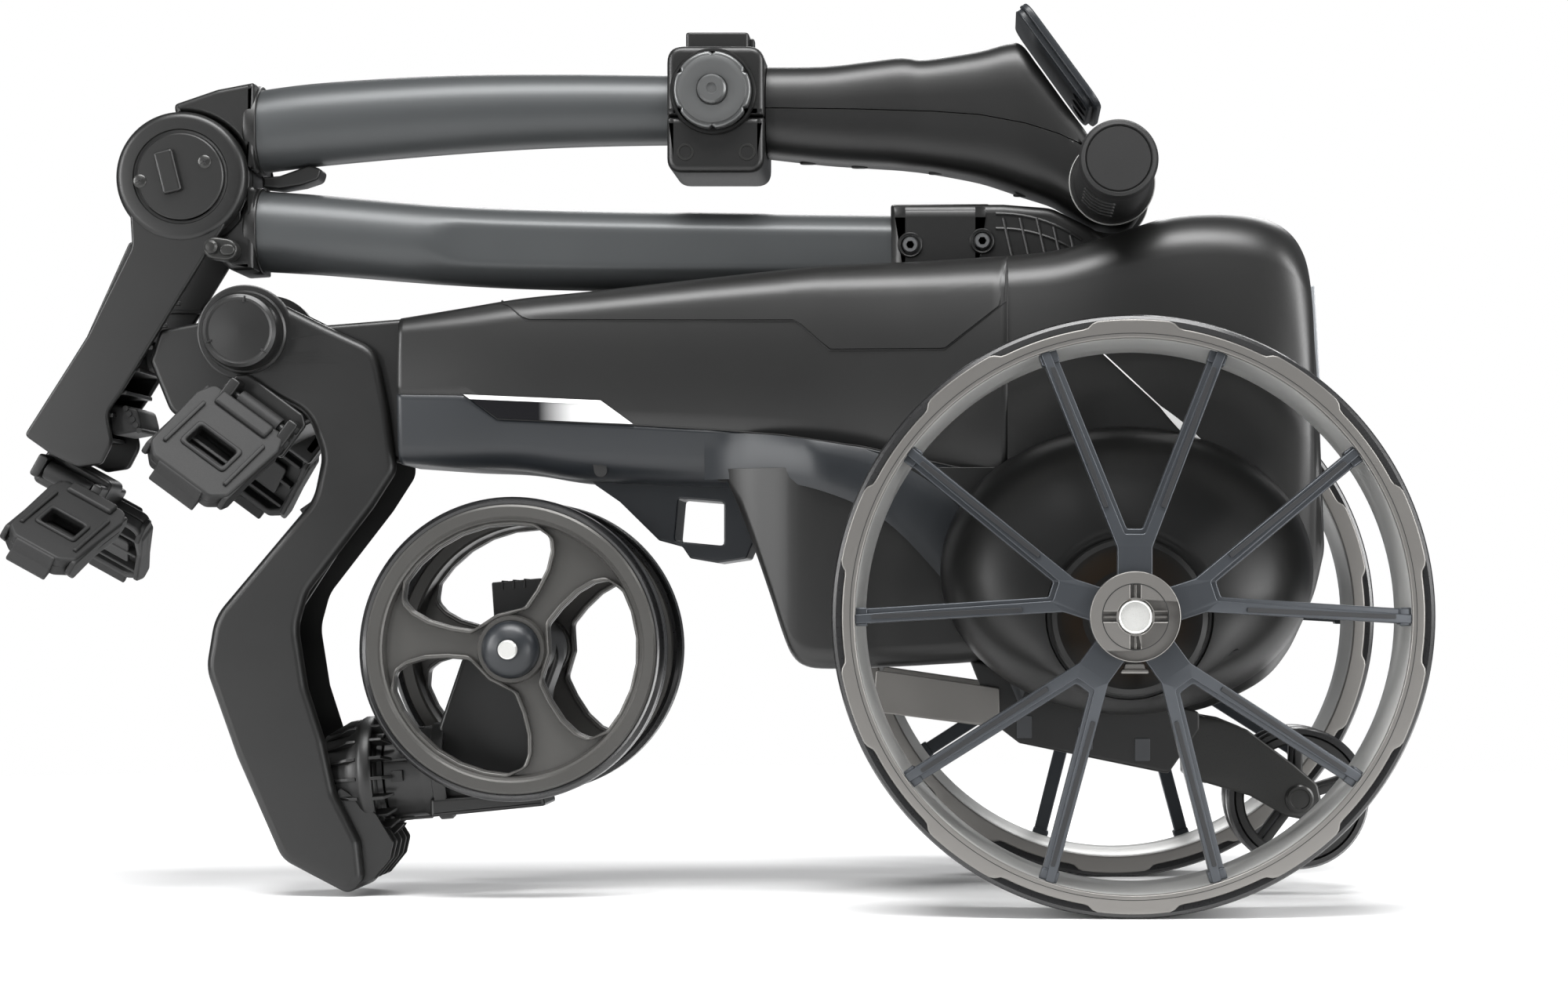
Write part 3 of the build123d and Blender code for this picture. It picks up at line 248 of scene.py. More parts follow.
def value_at(knots, x):
    """Straight interpolation of knot rows by their first number."""
    if x <= knots[0][0]:
        return knots[0]
    for a, b in zip(knots, knots[1:]):
        if x <= b[0]:
            t = (x - a[0]) / (b[0] - a[0])
            return tuple(p + (q - p) * t for p, q in zip(a, b))
    return knots[-1]


def swept(path, radius, steps=10, flat=1.0):
    """Round bead along a path of points."""
    rows = []
    angles = [2 * pi * k / steps for k in range(steps)]
    for i, point in enumerate(path):
        along = (path[min(i + 1, len(path) - 1)] - path[max(i - 1, 0)]).normalized()
        side = along.cross(Vector((0, -1, 0)))
        side = side.normalized() if side.length > 0.01 else along.orthogonal().normalized()
        out = side.cross(along)
        rows.append([point + side * radius * cos(a) + out * flat * radius * sin(a) for a in angles])
    return skin(rows)


# ---------------------------------------------------------------- materials
def linear(value):
    value /= 255
    return value / 12.92 if value <= 0.04045 else ((value + 0.055) / 1.055) ** 2.4


def colour(red, green, blue):
    return (linear(red), linear(green), linear(blue), 1.0)


def new_node(tree, kind, inputs=()):
    node = tree.nodes.new("ShaderNode" + kind)
    for name, value in dict(inputs).items():
        node.inputs[name].default_value = value
    return node


def wire(tree, *joins):
    """Join sockets: each join is a node, its output, the next node and its input."""
    for source, output, target, socket in joins:
        tree.links.new(source.outputs[output], target.inputs[socket])


def new_material(name):
    material = bpy.data.materials.new(name)
    material.use_nodes = True
    return material, material.node_tree, material.node_tree.nodes["Principled BSDF"]


def colour_mix(tree, first, second):
    mix = tree.nodes.new("ShaderNodeMix")
    mix.data_type = "RGBA"
    mix.inputs["A"].default_value = first
    mix.inputs["B"].default_value = second
    return mix


def make_material(name, base, tint, roughness, metallic, grain, depth, spread=0.08, coat=0.0):
    """Moulded or coated surface: two close colours in soft clouds over a fine grain.

    grain is the size of the texture and depth its height, both in millimetres.
    """
    material, tree, shader = new_material(name)
    place = new_node(tree, "TexCoord")
    clouds = new_node(tree, "TexNoise", {"Scale": 18.0, "Detail": 4.0})
    fine = new_node(tree, "TexNoise", {"Scale": 1.0 / (grain * MM), "Detail": 3.0})
    mix = colour_mix(tree, colour(*base), colour(*tint))
    rough = new_node(tree, "MapRange", {"To Min": max(roughness - spread, 0.03),
                                        "To Max": roughness + spread})
    bump = new_node(tree, "Bump", {"Strength": 0.6, "Distance": depth * MM})
    wire(
        tree,
        (place, "Object", clouds, "Vector"),
        (place, "Object", fine, "Vector"),
        (clouds, "Fac", mix, "Factor"),
        (mix, "Result", shader, "Base Color"),
        (fine, "Fac", rough, "Value"),
        (rough, "Result", shader, "Roughness"),
        (fine, "Fac", bump, "Height"),
        (bump, "Normal", shader, "Normal"),
    )
    shader.inputs["Metallic"].default_value = metallic
    shader.inputs["Coat Weight"].default_value = coat
    shader.inputs["Coat Roughness"].default_value = 0.12
    return material


# Each look: two close colours, roughness, metallic, grain, depth, then spread and coat
# where they differ from the defaults of make_material.
LOOKS = {
    "graphite_tube": ((57, 59, 60), (64, 66, 67), 0.40, 0.30, 0.35, 0.006),
    "black_plastic": ((9, 9, 9), (14, 14, 13), 0.40, 0.0, 0.7, 0.02),
    "shell_black": ((14, 14, 14), (19, 19, 18), 0.38, 0.0, 0.6, 0.015),
    "shell_blue": ((24, 27, 30), (30, 33, 37), 0.38, 0.1, 0.6, 0.015),
    "wheel_grey": ((112, 110, 107), (122, 120, 117), 0.34, 0.6, 0.5, 0.008),
    "tyre_black": ((13, 13, 14), (21, 21, 22), 0.30, 0.0, 1.2, 0.03, 0.08, 0.2),
    "black_metal": ((46, 46, 45), (54, 54, 53), 0.30, 0.5, 0.3, 0.006),
    "bright_steel": ((208, 208, 205), (222, 222, 219), 0.30, 0.6, 0.2, 0.003),
    "graphite_knob": ((92, 93, 93), (102, 103, 103), 0.32, 0.6, 0.3, 0.005),
    "grip_rubber": ((7, 7, 7), (12, 12, 12), 0.60, 0.0, 0.9, 0.05),
    "glass_dark": ((6, 7, 9), (10, 11, 14), 0.08, 0.0, 2.0, 0.001, 0.02, 1.0),
    "light_lens": ((120, 124, 128), (150, 153, 156), 0.18, 0.0, 0.8, 0.01, 0.08, 0.6),
    "board_green": ((20, 62, 38), (28, 76, 48), 0.45, 0.0, 1.5, 0.02),
    "battery_grey": ((52, 54, 57), (62, 64, 67), 0.5, 0.0, 0.8, 0.02),
    "motor_steel": ((128, 129, 130), (150, 151, 152), 0.32, 0.9, 0.4, 0.005),
    "bronze": ((134, 98, 56), (152, 114, 68), 0.35, 1.0, 0.4, 0.005),
    "spoke_graphite": ((60, 63, 67), (67, 70, 74), 0.32, 0.55, 0.4, 0.006),
    "front_wheel_grey": ((72, 71, 69), (80, 79, 77), 0.34, 0.5, 0.5, 0.008),
    # Darker copy of black plastic for the cradle wings: painted shade against the key light on their
    # upturned faces.
    "cradle_black": ((4, 4, 4), (8, 8, 8), 0.62, 0.0, 0.7, 0.02),
    # Paler copy of the rim grey for the inside of the rim: painted light from above.
    "rim_barrel": ((176, 176, 174), (188, 188, 186), 0.36, 0.35, 0.5, 0.006),
    # Near-black for strips along the spokes: painted shade of their channels.
    "spoke_channel_painted_shade": ((24, 25, 27), (31, 32, 34), 0.5, 0.2, 0.5, 0.008),
    "seam_shadow": ((6, 6, 6), (12, 12, 12), 0.7, 0.0, 0.5, 0.01),
    # White for the badge's printed edge and for the painted highlight along the fender by the motor pod.
    "print_white_and_highlight": ((222, 222, 221), (236, 236, 235), 0.3, 0.0, 0.5, 0.005),
}
MATERIALS = {name: make_material(name, *look) for name, look in LOOKS.items()}

# Looks that have no slot of their own, and the slot that each one belongs to.
SLOT_OF_LOOK = {
    "spoke_graphite": "graphite_knob",
    "front_wheel_grey": "wheel_grey",
    "cradle_black": "black_plastic",
    "rim_barrel": "wheel_grey",
    "spoke_channel_painted_shade": "black_plastic",
    "seam_shadow": "black_plastic",
    "print_white_and_highlight": "wheel_grey",
    "badge_fade": "black_plastic",
}


def paint_frame():
    """Give every carried-over CAD node the material of its slot."""
    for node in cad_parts.values():
        for place in node.material_slots:
            name = place.material.name.split(".")[0] if place.material else "black_plastic"
            place.material = MATERIALS.get(name, MATERIALS["black_plastic"])


# ---------------------------------------------------------------- placing a piece
def solid_object(name, shape):
    """Mesh object in metres with merged points and outward faces."""
    mesh = bpy.data.meshes.new(name)
    mesh.from_pydata([tuple(p * MM) for p in shape.points], [], shape.faces)
    work = bmesh.new()
    work.from_mesh(mesh)
    bmesh.ops.remove_doubles(work, verts=work.verts, dist=0.00002)
    bmesh.ops.dissolve_degenerate(work, edges=work.edges, dist=0.00001)
    bmesh.ops.recalc_face_normals(work, faces=work.faces)
    work.to_mesh(mesh)
    work.free()
    made = bpy.data.objects.new(name, mesh)
    bpy.context.scene.collection.objects.link(made)
    return made


def carve(target, cutters):
    """Cut shapes out of an object."""
    for cutter in cutters:
        tool = solid_object("cutter", cutter)
        cut = target.modifiers.new("cut", "BOOLEAN")
        cut.object = tool
        cut.operation = "DIFFERENCE"
        cut.solver = "EXACT"
        cut.use_self = True
        bpy.context.view_layer.update()
        done = bpy.data.meshes.new_from_object(target.evaluated_get(bpy.context.evaluated_depsgraph_get()))
        target.modifiers.clear()
        target.data = done
        bpy.data.objects.remove(tool)


def piece(name, shape, look, body, nodes=(), slot_name=None, cut=(), bevel=0, wall=0, sharp=32):
    """Make one visible piece that rides on a body and stands for CAD nodes."""
    slot_name = slot_name or SLOT_OF_LOOK.get(look, look)
    made = solid_object(name, shape)
    carve(made, cut)
    mesh = made.data
    mesh.materials.clear()
    mesh.materials.append(MATERIALS[look])
    for face in mesh.polygons:
        face.use_smooth = True
        face.material_index = 0
    mesh.set_sharp_from_angle(angle=radians(sharp))
    if wall:
        thick = made.modifiers.new("wall", "SOLIDIFY")
        thick.thickness = wall * MM
        thick.offset = -1
    if bevel:
        edge = made.modifiers.new("edge", "BEVEL")
        edge.width = bevel * MM
        edge.segments = 2
        edge.limit_method = "ANGLE"
        edge.angle_limit = radians(40)
        edge.harden_normals = False
    flat = made.modifiers.new("flat", "WEIGHTED_NORMAL")
    flat.keep_sharp = True
    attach(made, body)
    if nodes:
        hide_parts(*nodes)
    return made


def screw(place, radius, height):
    """Domed screw head with a hexagonal socket."""
    head = turned([(radius, -1), (radius, height * 0.6), (radius * 0.86, height), (radius * 0.56, height)],
                  place, 32)
    hollow = circle(radius * 0.52, steps=6)
    head.join(skin([[place.at(u, v, w) for u, v in hollow] for w in (height, height * 0.2)]))
    return head


# ---------------------------------------------------------------- rear wheels
RIM_OUTER = TYRE_R - 3.6
RIM_INNER = TYRE_R - 11.9
RIM_FAR, RIM_NEAR = 100, 160
HUB_R = 22.3
HUB_FACE = 182
SPOKE_UNITS = 5
UNIT_ANGLE = 2 * pi / SPOKE_UNITS
SPOKE_AIM = radians(18)
REAR_WHEEL = side_place(REAR.x, REAR.z)


def lug_radius(angle):
    """Outer radius of the rim face: ten raised lugs with sloping ends."""
    pitch = 2 * pi / 10
    off = abs((angle + pitch / 2) % pitch - pitch / 2)
    rise = min(max((radians(9.2) - off) / radians(1.6), 0), 1)
    return RIM_OUTER - 1.8 + 3 * rise


def lug_outline():
    angles = [2 * pi * i / 360 for i in range(360)]
    return [(lug_radius(a + pi / 10) * cos(a), lug_radius(a + pi / 10) * sin(a)) for a in angles]


def rear_rim():
    rim = plate([lug_outline(), circle(RIM_INNER, steps=180)], REAR_WHEEL, RIM_NEAR - 7, RIM_NEAR, 0.9)
    rim.join(plate([lug_outline(), circle(RIM_INNER, steps=180)], REAR_WHEEL, RIM_FAR, RIM_FAR + 7, 0.9))
    barrel = [
        (RIM_INNER + 0.6, RIM_NEAR - 4), (RIM_INNER + 0.2, RIM_NEAR - 12), (RIM_INNER - 2.6, RIM_NEAR - 18),
        (RIM_INNER - 3.2, RIM_FAR + 18), (RIM_INNER + 0.2, RIM_FAR + 10), (RIM_INNER + 0.6, RIM_FAR + 4),
        (RIM_OUTER - 0.2, RIM_FAR + 4), (RIM_OUTER - 0.2, RIM_NEAR - 4),
    ]
    return rim.join(turned(barrel, REAR_WHEEL, 160, closed=True))


def spoke_front(radius):
    """Distance from the middle of the trolley to the front of a spoke."""
    share = min(max((radius - 38) / 103, 0), 1)
    return HUB_FACE - 6 - 18 * share


def dish(shape):
    """Move a flat wheel part so that it follows the dished spokes."""
    return shape.moved(lambda p: Vector((p.x, p.y - spoke_front(hypot(p.x - REAR.x, p.z - REAR.z)), p.z)))


def turn_outline(points, angle):
    return [(u * cos(angle) - v * sin(angle), u * sin(angle) + v * cos(angle)) for u, v in points]


def spoke_pair(width, inset):
    """Outline of one boss that parts into two spokes; inset widens the gap between them."""
    tip = RIM_INNER + 0.4
    middle_u, middle_v = tip * sin(SPOKE_AIM), tip * cos(SPOKE_AIM)
    half_u, half_v = width / 2 * cos(SPOKE_AIM), width / 2 * sin(SPOKE_AIM)
    inner_tip = (middle_u - half_u + inset, middle_v + half_v)
    outer_tip = (middle_u + half_u, middle_v - half_v)
    root = (3.9 + inset * 0.4, 43.4 - inset)
    outer = [(8.6, 12), (8.6, 34), outer_tip, inner_tip, root]
    return outer + [(-u, v) for u, v in reversed(outer)]


def rear_spokes():
    spokes = Shape()
    for unit in range(SPOKE_UNITS):
        turn = UNIT_ANGLE * unit
        ledge = turn_outline(rounded(spoke_pair(7.6, 0), 1.5, 3), turn)
        ridge = turn_outline(rounded(spoke_pair(7, 2.6), 1.5, 3), turn)
        spokes.join(dish(plate([ledge], REAR_WHEEL, -12, -2.6, 0.7)))
        spokes.join(dish(plate([ridge], REAR_WHEEL, -3.4, 0, 0.6)))
        for side in (-1, 1):
            aim = turn + side * SPOKE_AIM
            foot = [(u, v + RIM_INNER - 3) for u, v in box_outline(9.2, 6.4, radius=1.2)]
            spokes.join(dish(plate([turn_outline(foot, aim)], REAR_WHEEL, -13.5, -1.5, 0.8)))
    collar = [(17, 137), (17, 161), (HUB_R, 163), (HUB_R, HUB_FACE - 6.4), (9.2, HUB_FACE - 6.4),
              (9.2, 137)]
    return spokes.join(turned(collar, REAR_WHEEL, 64, closed=True))


def spoke_shade_strips():
    """Dark strip down the middle of every spoke: painted shade of the spoke's channel."""
    shade_strips = Shape()
    half = 1.15
    reach = RIM_INNER - 8
    for unit in range(SPOKE_UNITS):
        for side in (-1, 1):
            root, tip = Vector((side * 11.6, 47.6)), Vector((side * reach * sin(SPOKE_AIM),
                                                             reach * cos(SPOKE_AIM)))
            along = tip - root
            across = Vector((along.y, -along.x)).normalized() * half
            first = root + along * 0.08
            corners = [first - across, first + across, tip + across, tip - across]
            outline = turn_outline(rounded(corners, 0.8, 2), UNIT_ANGLE * unit)
            shade_strips.join(dish(plate([outline], REAR_WHEEL, -0.6, 0.9, 0.2)))
    return shade_strips


def barrel_painted_light():
    """Smooth inner wall of the rim in a paler grey: painted light falling on the barrel from above."""
    rows = [(RIM_INNER - 0.2, RIM_NEAR - 3), (RIM_INNER - 0.6, RIM_NEAR - 12),
            (RIM_INNER - 3.4, RIM_NEAR - 18.4), (RIM_INNER - 4, RIM_FAR + 18.4),
            (RIM_INNER - 0.6, RIM_FAR + 9), (RIM_INNER - 0.2, RIM_FAR + 3), (RIM_INNER + 0.4, RIM_FAR + 3),
            (RIM_INNER + 0.4, RIM_NEAR - 3)]
    return turned(rows, REAR_WHEEL, 160, closed=True)


def hub_face():
    slots = []
    for quarter in range(4):
        slots.append(turn_outline(box_outline(7.4, 5, u=12.4, radius=0.6), quarter * pi / 2))
    face = plate([circle(HUB_R, steps=72), circle(8.9, steps=40)] + slots, REAR_WHEEL, HUB_FACE - 4.4,
                 HUB_FACE, 0.5)
    floor = turned([(HUB_R - 0.6, HUB_FACE - 6.2), (HUB_R - 0.6, HUB_FACE - 4), (8.9, HUB_FACE - 4),
                    (8.9, HUB_FACE - 6.2)], REAR_WHEEL, 64, closed=True)
    for quarter in range(4):
        rib = turn_outline(box_outline(7, 1.3, u=12.4, radius=0.3), quarter * pi / 2)
        floor.join(plate([rib], REAR_WHEEL, HUB_FACE - 4.2, HUB_FACE - 1.6, 0.3))
    return face.join(floor)


def ring_bead(radius, across, thick, place, steps=120):
    """Fine raised ring, used as a moulded line or a seam."""
    profile = [(radius - thick, across - thick), (radius - thick, across + thick * 0.5),
               (radius + thick, across + thick * 0.5), (radius + thick, across - thick)]
    return turned(profile, place, steps, closed=True)


def rear_tyre():
    crown = TYRE_R
    inner = RIM_OUTER - 2.4
    near, far = RIM_NEAR - 0.6, RIM_FAR + 0.6
    rows = [(inner, near - 0.8), (crown - 2.4, near), (crown - 0.9, near - 0.8), (crown - 0.1, near - 2.4)]
    for rib in range(6):
        start = near - 5 - rib * 8.6
        rows += [(crown, start), (crown, start - 5.4), (crown - 0.7, start - 6.2),
                 (crown - 0.7, start - 7.6)]
    rows += [(crown, far + 3), (crown - 0.9, far + 0.8), (crown - 2.4, far), (inner, far + 0.8)]
    return turned(rows, REAR_WHEEL, 180, closed=True)


def release_tab():
    top = -HUB_R - 0.6
    tab = plate([rounded([(-4.6, top), (4.6, top), (5.6, top - 3.2), (-5.6, top - 3.2)], 0.8)], REAR_WHEEL,
                164, 173, 0.6)
    lip = plate([rounded([(-6.4, top - 2.9), (6.4, top - 2.9), (7.2, top - 5), (-7.2, top - 5)], 0.8)],
                REAR_WHEEL, 163, 174.5, 0.7)
    return tab.join(lip)


def axle_end():
    face = HUB_FACE - 0.8
    rows = [(7.7, 60), (8.6, face - 3), (8.6, face - 0.4), (8, face + 0.4), (7.4, face), (7.3, face - 0.9),
            (0.6, face - 0.9)]
    return turned(rows, REAR_WHEEL, 48)


def build_rear_wheels():
    for name in ("left", "right"):
        wheel = "rear_wheel_" + name
        piece("rear_rim_" + name, rear_rim().for_side(name), "wheel_grey", wheel, [wheel], sharp=38)
        piece("rear_spokes_" + name, rear_spokes().for_side(name), "spoke_graphite", wheel, [wheel],
              sharp=38)
        # Dark strips on the spokes: painted shade.
        piece("rear_spoke_shade_strips_" + name, spoke_shade_strips().for_side(name), "spoke_channel_painted_shade", wheel)
        # Pale liner inside the rim: painted light on the barrel.
        piece("rear_barrel_painted_light_" + name, barrel_painted_light().for_side(name), "rim_barrel", wheel, sharp=38)
        piece("rear_hub_" + name, hub_face().for_side(name), "wheel_grey", wheel, [wheel])
        lines = ring_bead(16.2, HUB_FACE, 0.22, REAR_WHEEL, 72)
        lines.join(ring_bead(RIM_INNER + 2.4, RIM_NEAR, 0.16, REAR_WHEEL, 160))
        piece("rear_wheel_lines_" + name, lines.for_side(name), "seam_shadow", wheel)
        piece("rear_tread_" + name, rear_tyre().for_side(name), "tyre_black", wheel, ["rear_tyre_" + name])
        piece("rear_axle_" + name, axle_end().for_side(name), "bright_steel", wheel, ["drive_axle_" + name])
        piece("quick_release_" + name, release_tab().for_side(name), "wheel_grey", "release_" + name,
              ["release_tab_" + name])


# ---------------------------------------------------------------- front wheels
FRONT_WHEEL = side_place(FRONT.x, FRONT.z)
BLADE_AIMS = [radians(173.5 - 120 * i) for i in range(3)]


def front_window(grow):
    """Window between two blades; its sides flare away from the blades near the rim."""
    half = []
    for radius, clear in ((23, 8.2), (34, 8.6), (46, 10.6), (56, 14.6), (62.5, 19.5)):
        angle = pi / 3 - asin((clear - grow) / radius)
        half.append((radius * cos(angle), radius * sin(angle)))
    rim = 65.5 + grow
    arc = [(rim * cos(radians(a)), rim * sin(radians(a))) for a in (34, 24, 12, 0)]
    root = 20.5 - grow
    start = [(root * cos(radians(a)), root * sin(radians(a))) for a in (0, 20)]
    upper = start + half + arc
    return rounded([(u, v) for u, v in upper] + [(u, -v) for u, v in reversed(upper[1:-1])], 5, 3)


def front_wheel_disc():
    windows = [turn_outline(front_window(0), aim + pi / 3) for aim in BLADE_AIMS]
    wheel = plate([circle(69, steps=96)] + windows, FRONT_WHEEL, 49, 54.5, 0.7)
    for aim in BLADE_AIMS:
        collar = [turn_outline(front_window(2.6), aim + pi / 3),
                  turn_outline(front_window(0.3), aim + pi / 3)]
        wheel.join(plate(collar, FRONT_WHEEL, 46, 58.6, 1))
    return wheel


def front_wheel_rim():
    near, far = 61, 35
    rows = [(FRONT_R - 4.2, near - 1.2), (FRONT_R - 5.4, near - 0.2), (FRONT_R - 10.4, near - 0.6),
            (FRONT_R - 11.4, near - 1.6), (FRONT_R - 12.6, near - 1.4), (FRONT_R - 13.6, near - 3.2),
            (FRONT_R - 14.2, near - 8), (FRONT_R - 13.8, near - 14), (FRONT_R - 12.2, far + 2.2),
            (FRONT_R - 11, far + 1), (FRONT_R - 5.4, far + 1), (FRONT_R - 4.2, far + 2)]
    rim = turned(rows, FRONT_WHEEL, 120, closed=True)
    hub = [(17.6, 40), (18.2, 58), (17.4, 60.6), (15.4, 60.6), (14.6, 58.8), (5.2, 58.8), (5.2, 40)]
    return rim.join(turned(hub, FRONT_WHEEL, 64, closed=True))


def front_tread():
    near, far = 60.4, 35.6
    rows = [(FRONT_R - 4.3, near - 1), (FRONT_R - 2.4, near), (FRONT_R - 0.8, near - 1.6),
            (FRONT_R - 0.1, near - 4)]
    for rib in range(3):
        start = near - 5.6 - rib * 5
        rows += [(FRONT_R, start), (FRONT_R, start - 3), (FRONT_R - 0.9, start - 3.6),
                 (FRONT_R - 0.9, start - 4.4)]
    rows += [(FRONT_R - 0.1, far + 3), (FRONT_R - 0.8, far + 1.4), (FRONT_R - 2.4, far),
             (FRONT_R - 4.3, far + 1)]
    return turned(rows, FRONT_WHEEL, 120, closed=True)


def build_front_wheels():
    for name in ("left", "right"):
        wheel = "front_wheel_" + name
        piece("front_disc_" + name, front_wheel_disc().for_side(name), "front_wheel_grey", wheel,
              [wheel], sharp=38)
        piece("front_rim_" + name, front_wheel_rim().for_side(name), "front_wheel_grey", wheel,
              [wheel])
        cap = turned([(15.2, 60), (15, 64), (13.4, 67.2), (10, 69.4), (6.4, 70.4), (5.6, 70.6)],
                     FRONT_WHEEL, 56)
        piece("front_cap_" + name, cap.for_side(name), "shell_blue", wheel, slot_name="black_plastic")
        piece("front_tread_" + name, front_tread().for_side(name), "tyre_black", wheel,
              ["front_tyre_" + name])
    bolt = side_place(FRONT.x, FRONT.z, 70)
    ends = screw(bolt, 3.5, 2.4)
    piece("front_axle_ends", ends.on_both_sides(), "bright_steel", "caster")


# ---------------------------------------------------------------- chassis shells
HOUSING_START = 160
BULKHEAD = -163.4
# Each row: place along the trolley, top, bottom, half width at the top, middle and bottom,
# then the rounding of the upper and lower edges.
BODY_ROWS = [
    (-164, 309.6, 231.4, 39, 43, 38, 10, 10),
    (-130, 315.2, 229, 42, 46.5, 40, 13, 12),
    (-99, 320.2, 227.5, 43.5, 49, 41, 14, 13),
    (-64, 323.8, 222.5, 45, 51, 42, 15, 14),
    (0, 330.8, 219.6, 48, 55, 45, 16, 14),
    (60, 336.8, 217, 51.5, 60.5, 49, 17, 14),
    (110, 338.8, 213.6, 57, 68.5, 56, 18, 14),
    (HOUSING_START, 341.2, 206, 66, 78, 66, 20, 14),
]
HOUSING_ROWS = [
    (HOUSING_START, 341.2, 168, 66, 78, 66, 20, 20),
    (183, 343.2, 118, 70, 82.5, 70, 21, 30),
    (203, 348, 101, 73, 84, 70, 22, 34),
    (224, 354.6, 95.8, 74.5, 84, 69, 23, 36),
    (245, 360.9, 97, 75, 84, 68, 24, 36),
    (266, 363.2, 101.2, 74.5, 84, 67, 25, 36),
    (286, 362.6, 109.6, 73, 83.5, 65, 26, 36),
    (300, 359.4, 118.6, 70.5, 82, 62, 26, 36),
    (310, 353.4, 131, 67, 79.5, 59, 26, 34),
    (316.5, 344.6, 143.6, 63, 76.5, 56, 25, 32),
    (319.8, 332, 151, 60, 73.5, 54, 22, 30),
    (321.4, 306, 155, 58.5, 71, 53, 18, 28),
    (323.4, 276, 160, 57.5, 69, 52, 16, 26),
    (325.2, 232, 167, 56, 66, 50, 12, 22),
    (326.6, 196, 178, 52, 60, 48, 6, 8),
]
# Slot along the top that the folded stem lies in: its half width, its floor and its end.
SLOT_HALF = 25
SLOT_END = 268
SLOT_FLOOR = [(-46, 326), (-45, 321), (176, 321), (190, 307.5), (216, 307.5), (232, 309),
              (275, 370)]
# Line on the casing's side where the upper and lower shells meet.
SHELL_SPLIT = [(-170, 268.4), (-127, 267.6), (-110, 254.7), (-38, 251.4), (9, 248.5), (42, 245.6),
               (84, 239.4), (161, 222)]


def half_width(row, z):
    """Half the casing's width at a height, for a row of the casing."""
    _, top, bottom, w_top, w_mid, w_low, upper, lower = row
    share = (z - bottom) / max(top - bottom, 1)
    from_low = w_low * (1 - share) * (1 - 2 * share)
    from_middle = 4 * w_mid * share * (1 - share)
    from_top = w_top * share * (2 * share - 1)
    width = min(from_low + from_middle + from_top, w_mid + 0.4)
    for gap, radius in ((top - z, upper), (z - bottom, lower)):
        if gap < radius:
            width -= radius - sqrt(max(radius ** 2 - (radius - gap) ** 2, 0))
    return width


def corner_heights(row, count=8):
    """Heights from the top to the bottom, close together in the rounded edges."""
    _, top, bottom, _, _, _, upper, lower = row
    highs = [top - upper * (1 - cos(pi / 2 * i / count)) for i in range(count + 1)]
    lows = [bottom + lower * (1 - cos(pi / 2 * (count - i) / count)) for i in range(count + 1)]
    return highs, lows


def slot_floor(row):
    x, top = row[0], row[1]
    if x < SLOT_FLOOR[0][0] or x > SLOT_END:
        return top
    return min(value_at(SLOT_FLOOR, x)[1], top)


def upper_section(row, foot):
    """Left half of a section from the middle of its top down to a height."""
    highs, _ = corner_heights(row)
    floor = slot_floor(row)
    inner = min(SLOT_HALF, half_width(row, row[1]) - 2)
    depth = row[1] - floor
    points = [(0, floor), (inner - 1, floor), (inner, floor + min(0.5, depth)),
              (inner + 0.1, row[1] - min(1, depth)), (inner + 1, row[1])]
    points += [(max(half_width(row, z), inner + 1.2), z) for z in highs]
    start = highs[-1]
    points += [(half_width(row, start + (foot - start) * i / 8),
                start + (foot - start) * i / 8) for i in range(1, 9)]
    return [Vector((row[0], -y, z)) for y, z in points]


def lower_section(row, head):
    """Left half of a section from a height down to the middle of its underside."""
    _, lows = corner_heights(row)
    finish = lows[0]
    points = [(half_width(row, head + (finish - head) * i / 8),
               head + (finish - head) * i / 8) for i in range(8)]
    points += [(half_width(row, z), z) for z in lows]
    points.append((0, row[2]))
    return [Vector((row[0], -y, z)) for y, z in points]


def half_shell(rows):
    """Left and right halves of a casing skinned from its left-half sections."""
    left = skin(rows, closed=False, caps=False)
    return left.join(left.mirrored())


def body_row_at(x):
    rows = BODY_ROWS if x < HOUSING_START else HOUSING_ROWS
    return value_at(rows, x)


def on_side(x, z, proud=0):
    """Point on the left side of the casing, standing proud of it."""
    return Vector((x, -half_width(body_row_at(x), z) - proud, z))


def seam(corners, radius=0.45, step=4):
    """Dark line where two mouldings meet, following the casing's side."""
    path = []
    for (x0, z0), (x1, z1) in zip(corners, corners[1:]):
        count = max(int(hypot(x1 - x0, z1 - z0) / step), 1)
        path += [on_side(x0 + (x1 - x0) * i / count, z0 + (z1 - z0) * i / count) for i in range(count)]
    path.append(on_side(*corners[-1]))
    return swept(path, radius, 6, 0.5)


def build_shells():
    body = through(BODY_ROWS, 8)
    split = [value_at(SHELL_SPLIT, row[0])[1] for row in body]
    upper = half_shell([upper_section(row, foot + 0.5) for row, foot in zip(body, split)])
    lower = half_shell([lower_section(row, head - 0.5) for row, head in zip(body, split)])
    housing = through(HOUSING_ROWS, 6)
    rear_rows = [upper_section(row, (row[1] + row[2]) / 2) + lower_section(row, (row[1] + row[2]) / 2 - 0.2)
                 for row in housing]
    rear = half_shell(rear_rows)
    last = rear_rows[-1]
    far_half = [Vector((p.x, -p.y, p.z)) for p in reversed(last[1:-1])]
    rear.add(last + far_half, [tuple(range(len(last) + len(far_half)))])
    axle_hole = turned([(12.6, -100), (12.6, 100)], REAR_WHEEL, 40)
    piece("upper_casing", upper, "shell_black", "chassis", ["upper_shell"], wall=2.2, sharp=40)
    piece("lower_casing", lower, "shell_blue", "chassis", ["lower_shell"], wall=2.2, sharp=40)
    piece("rear_casing", rear, "shell_black", "chassis", ["rear_housing"], cut=[axle_hole],
          sharp=40)
    piece("front_bulkhead", front_bulkhead(), "shell_black", "chassis")


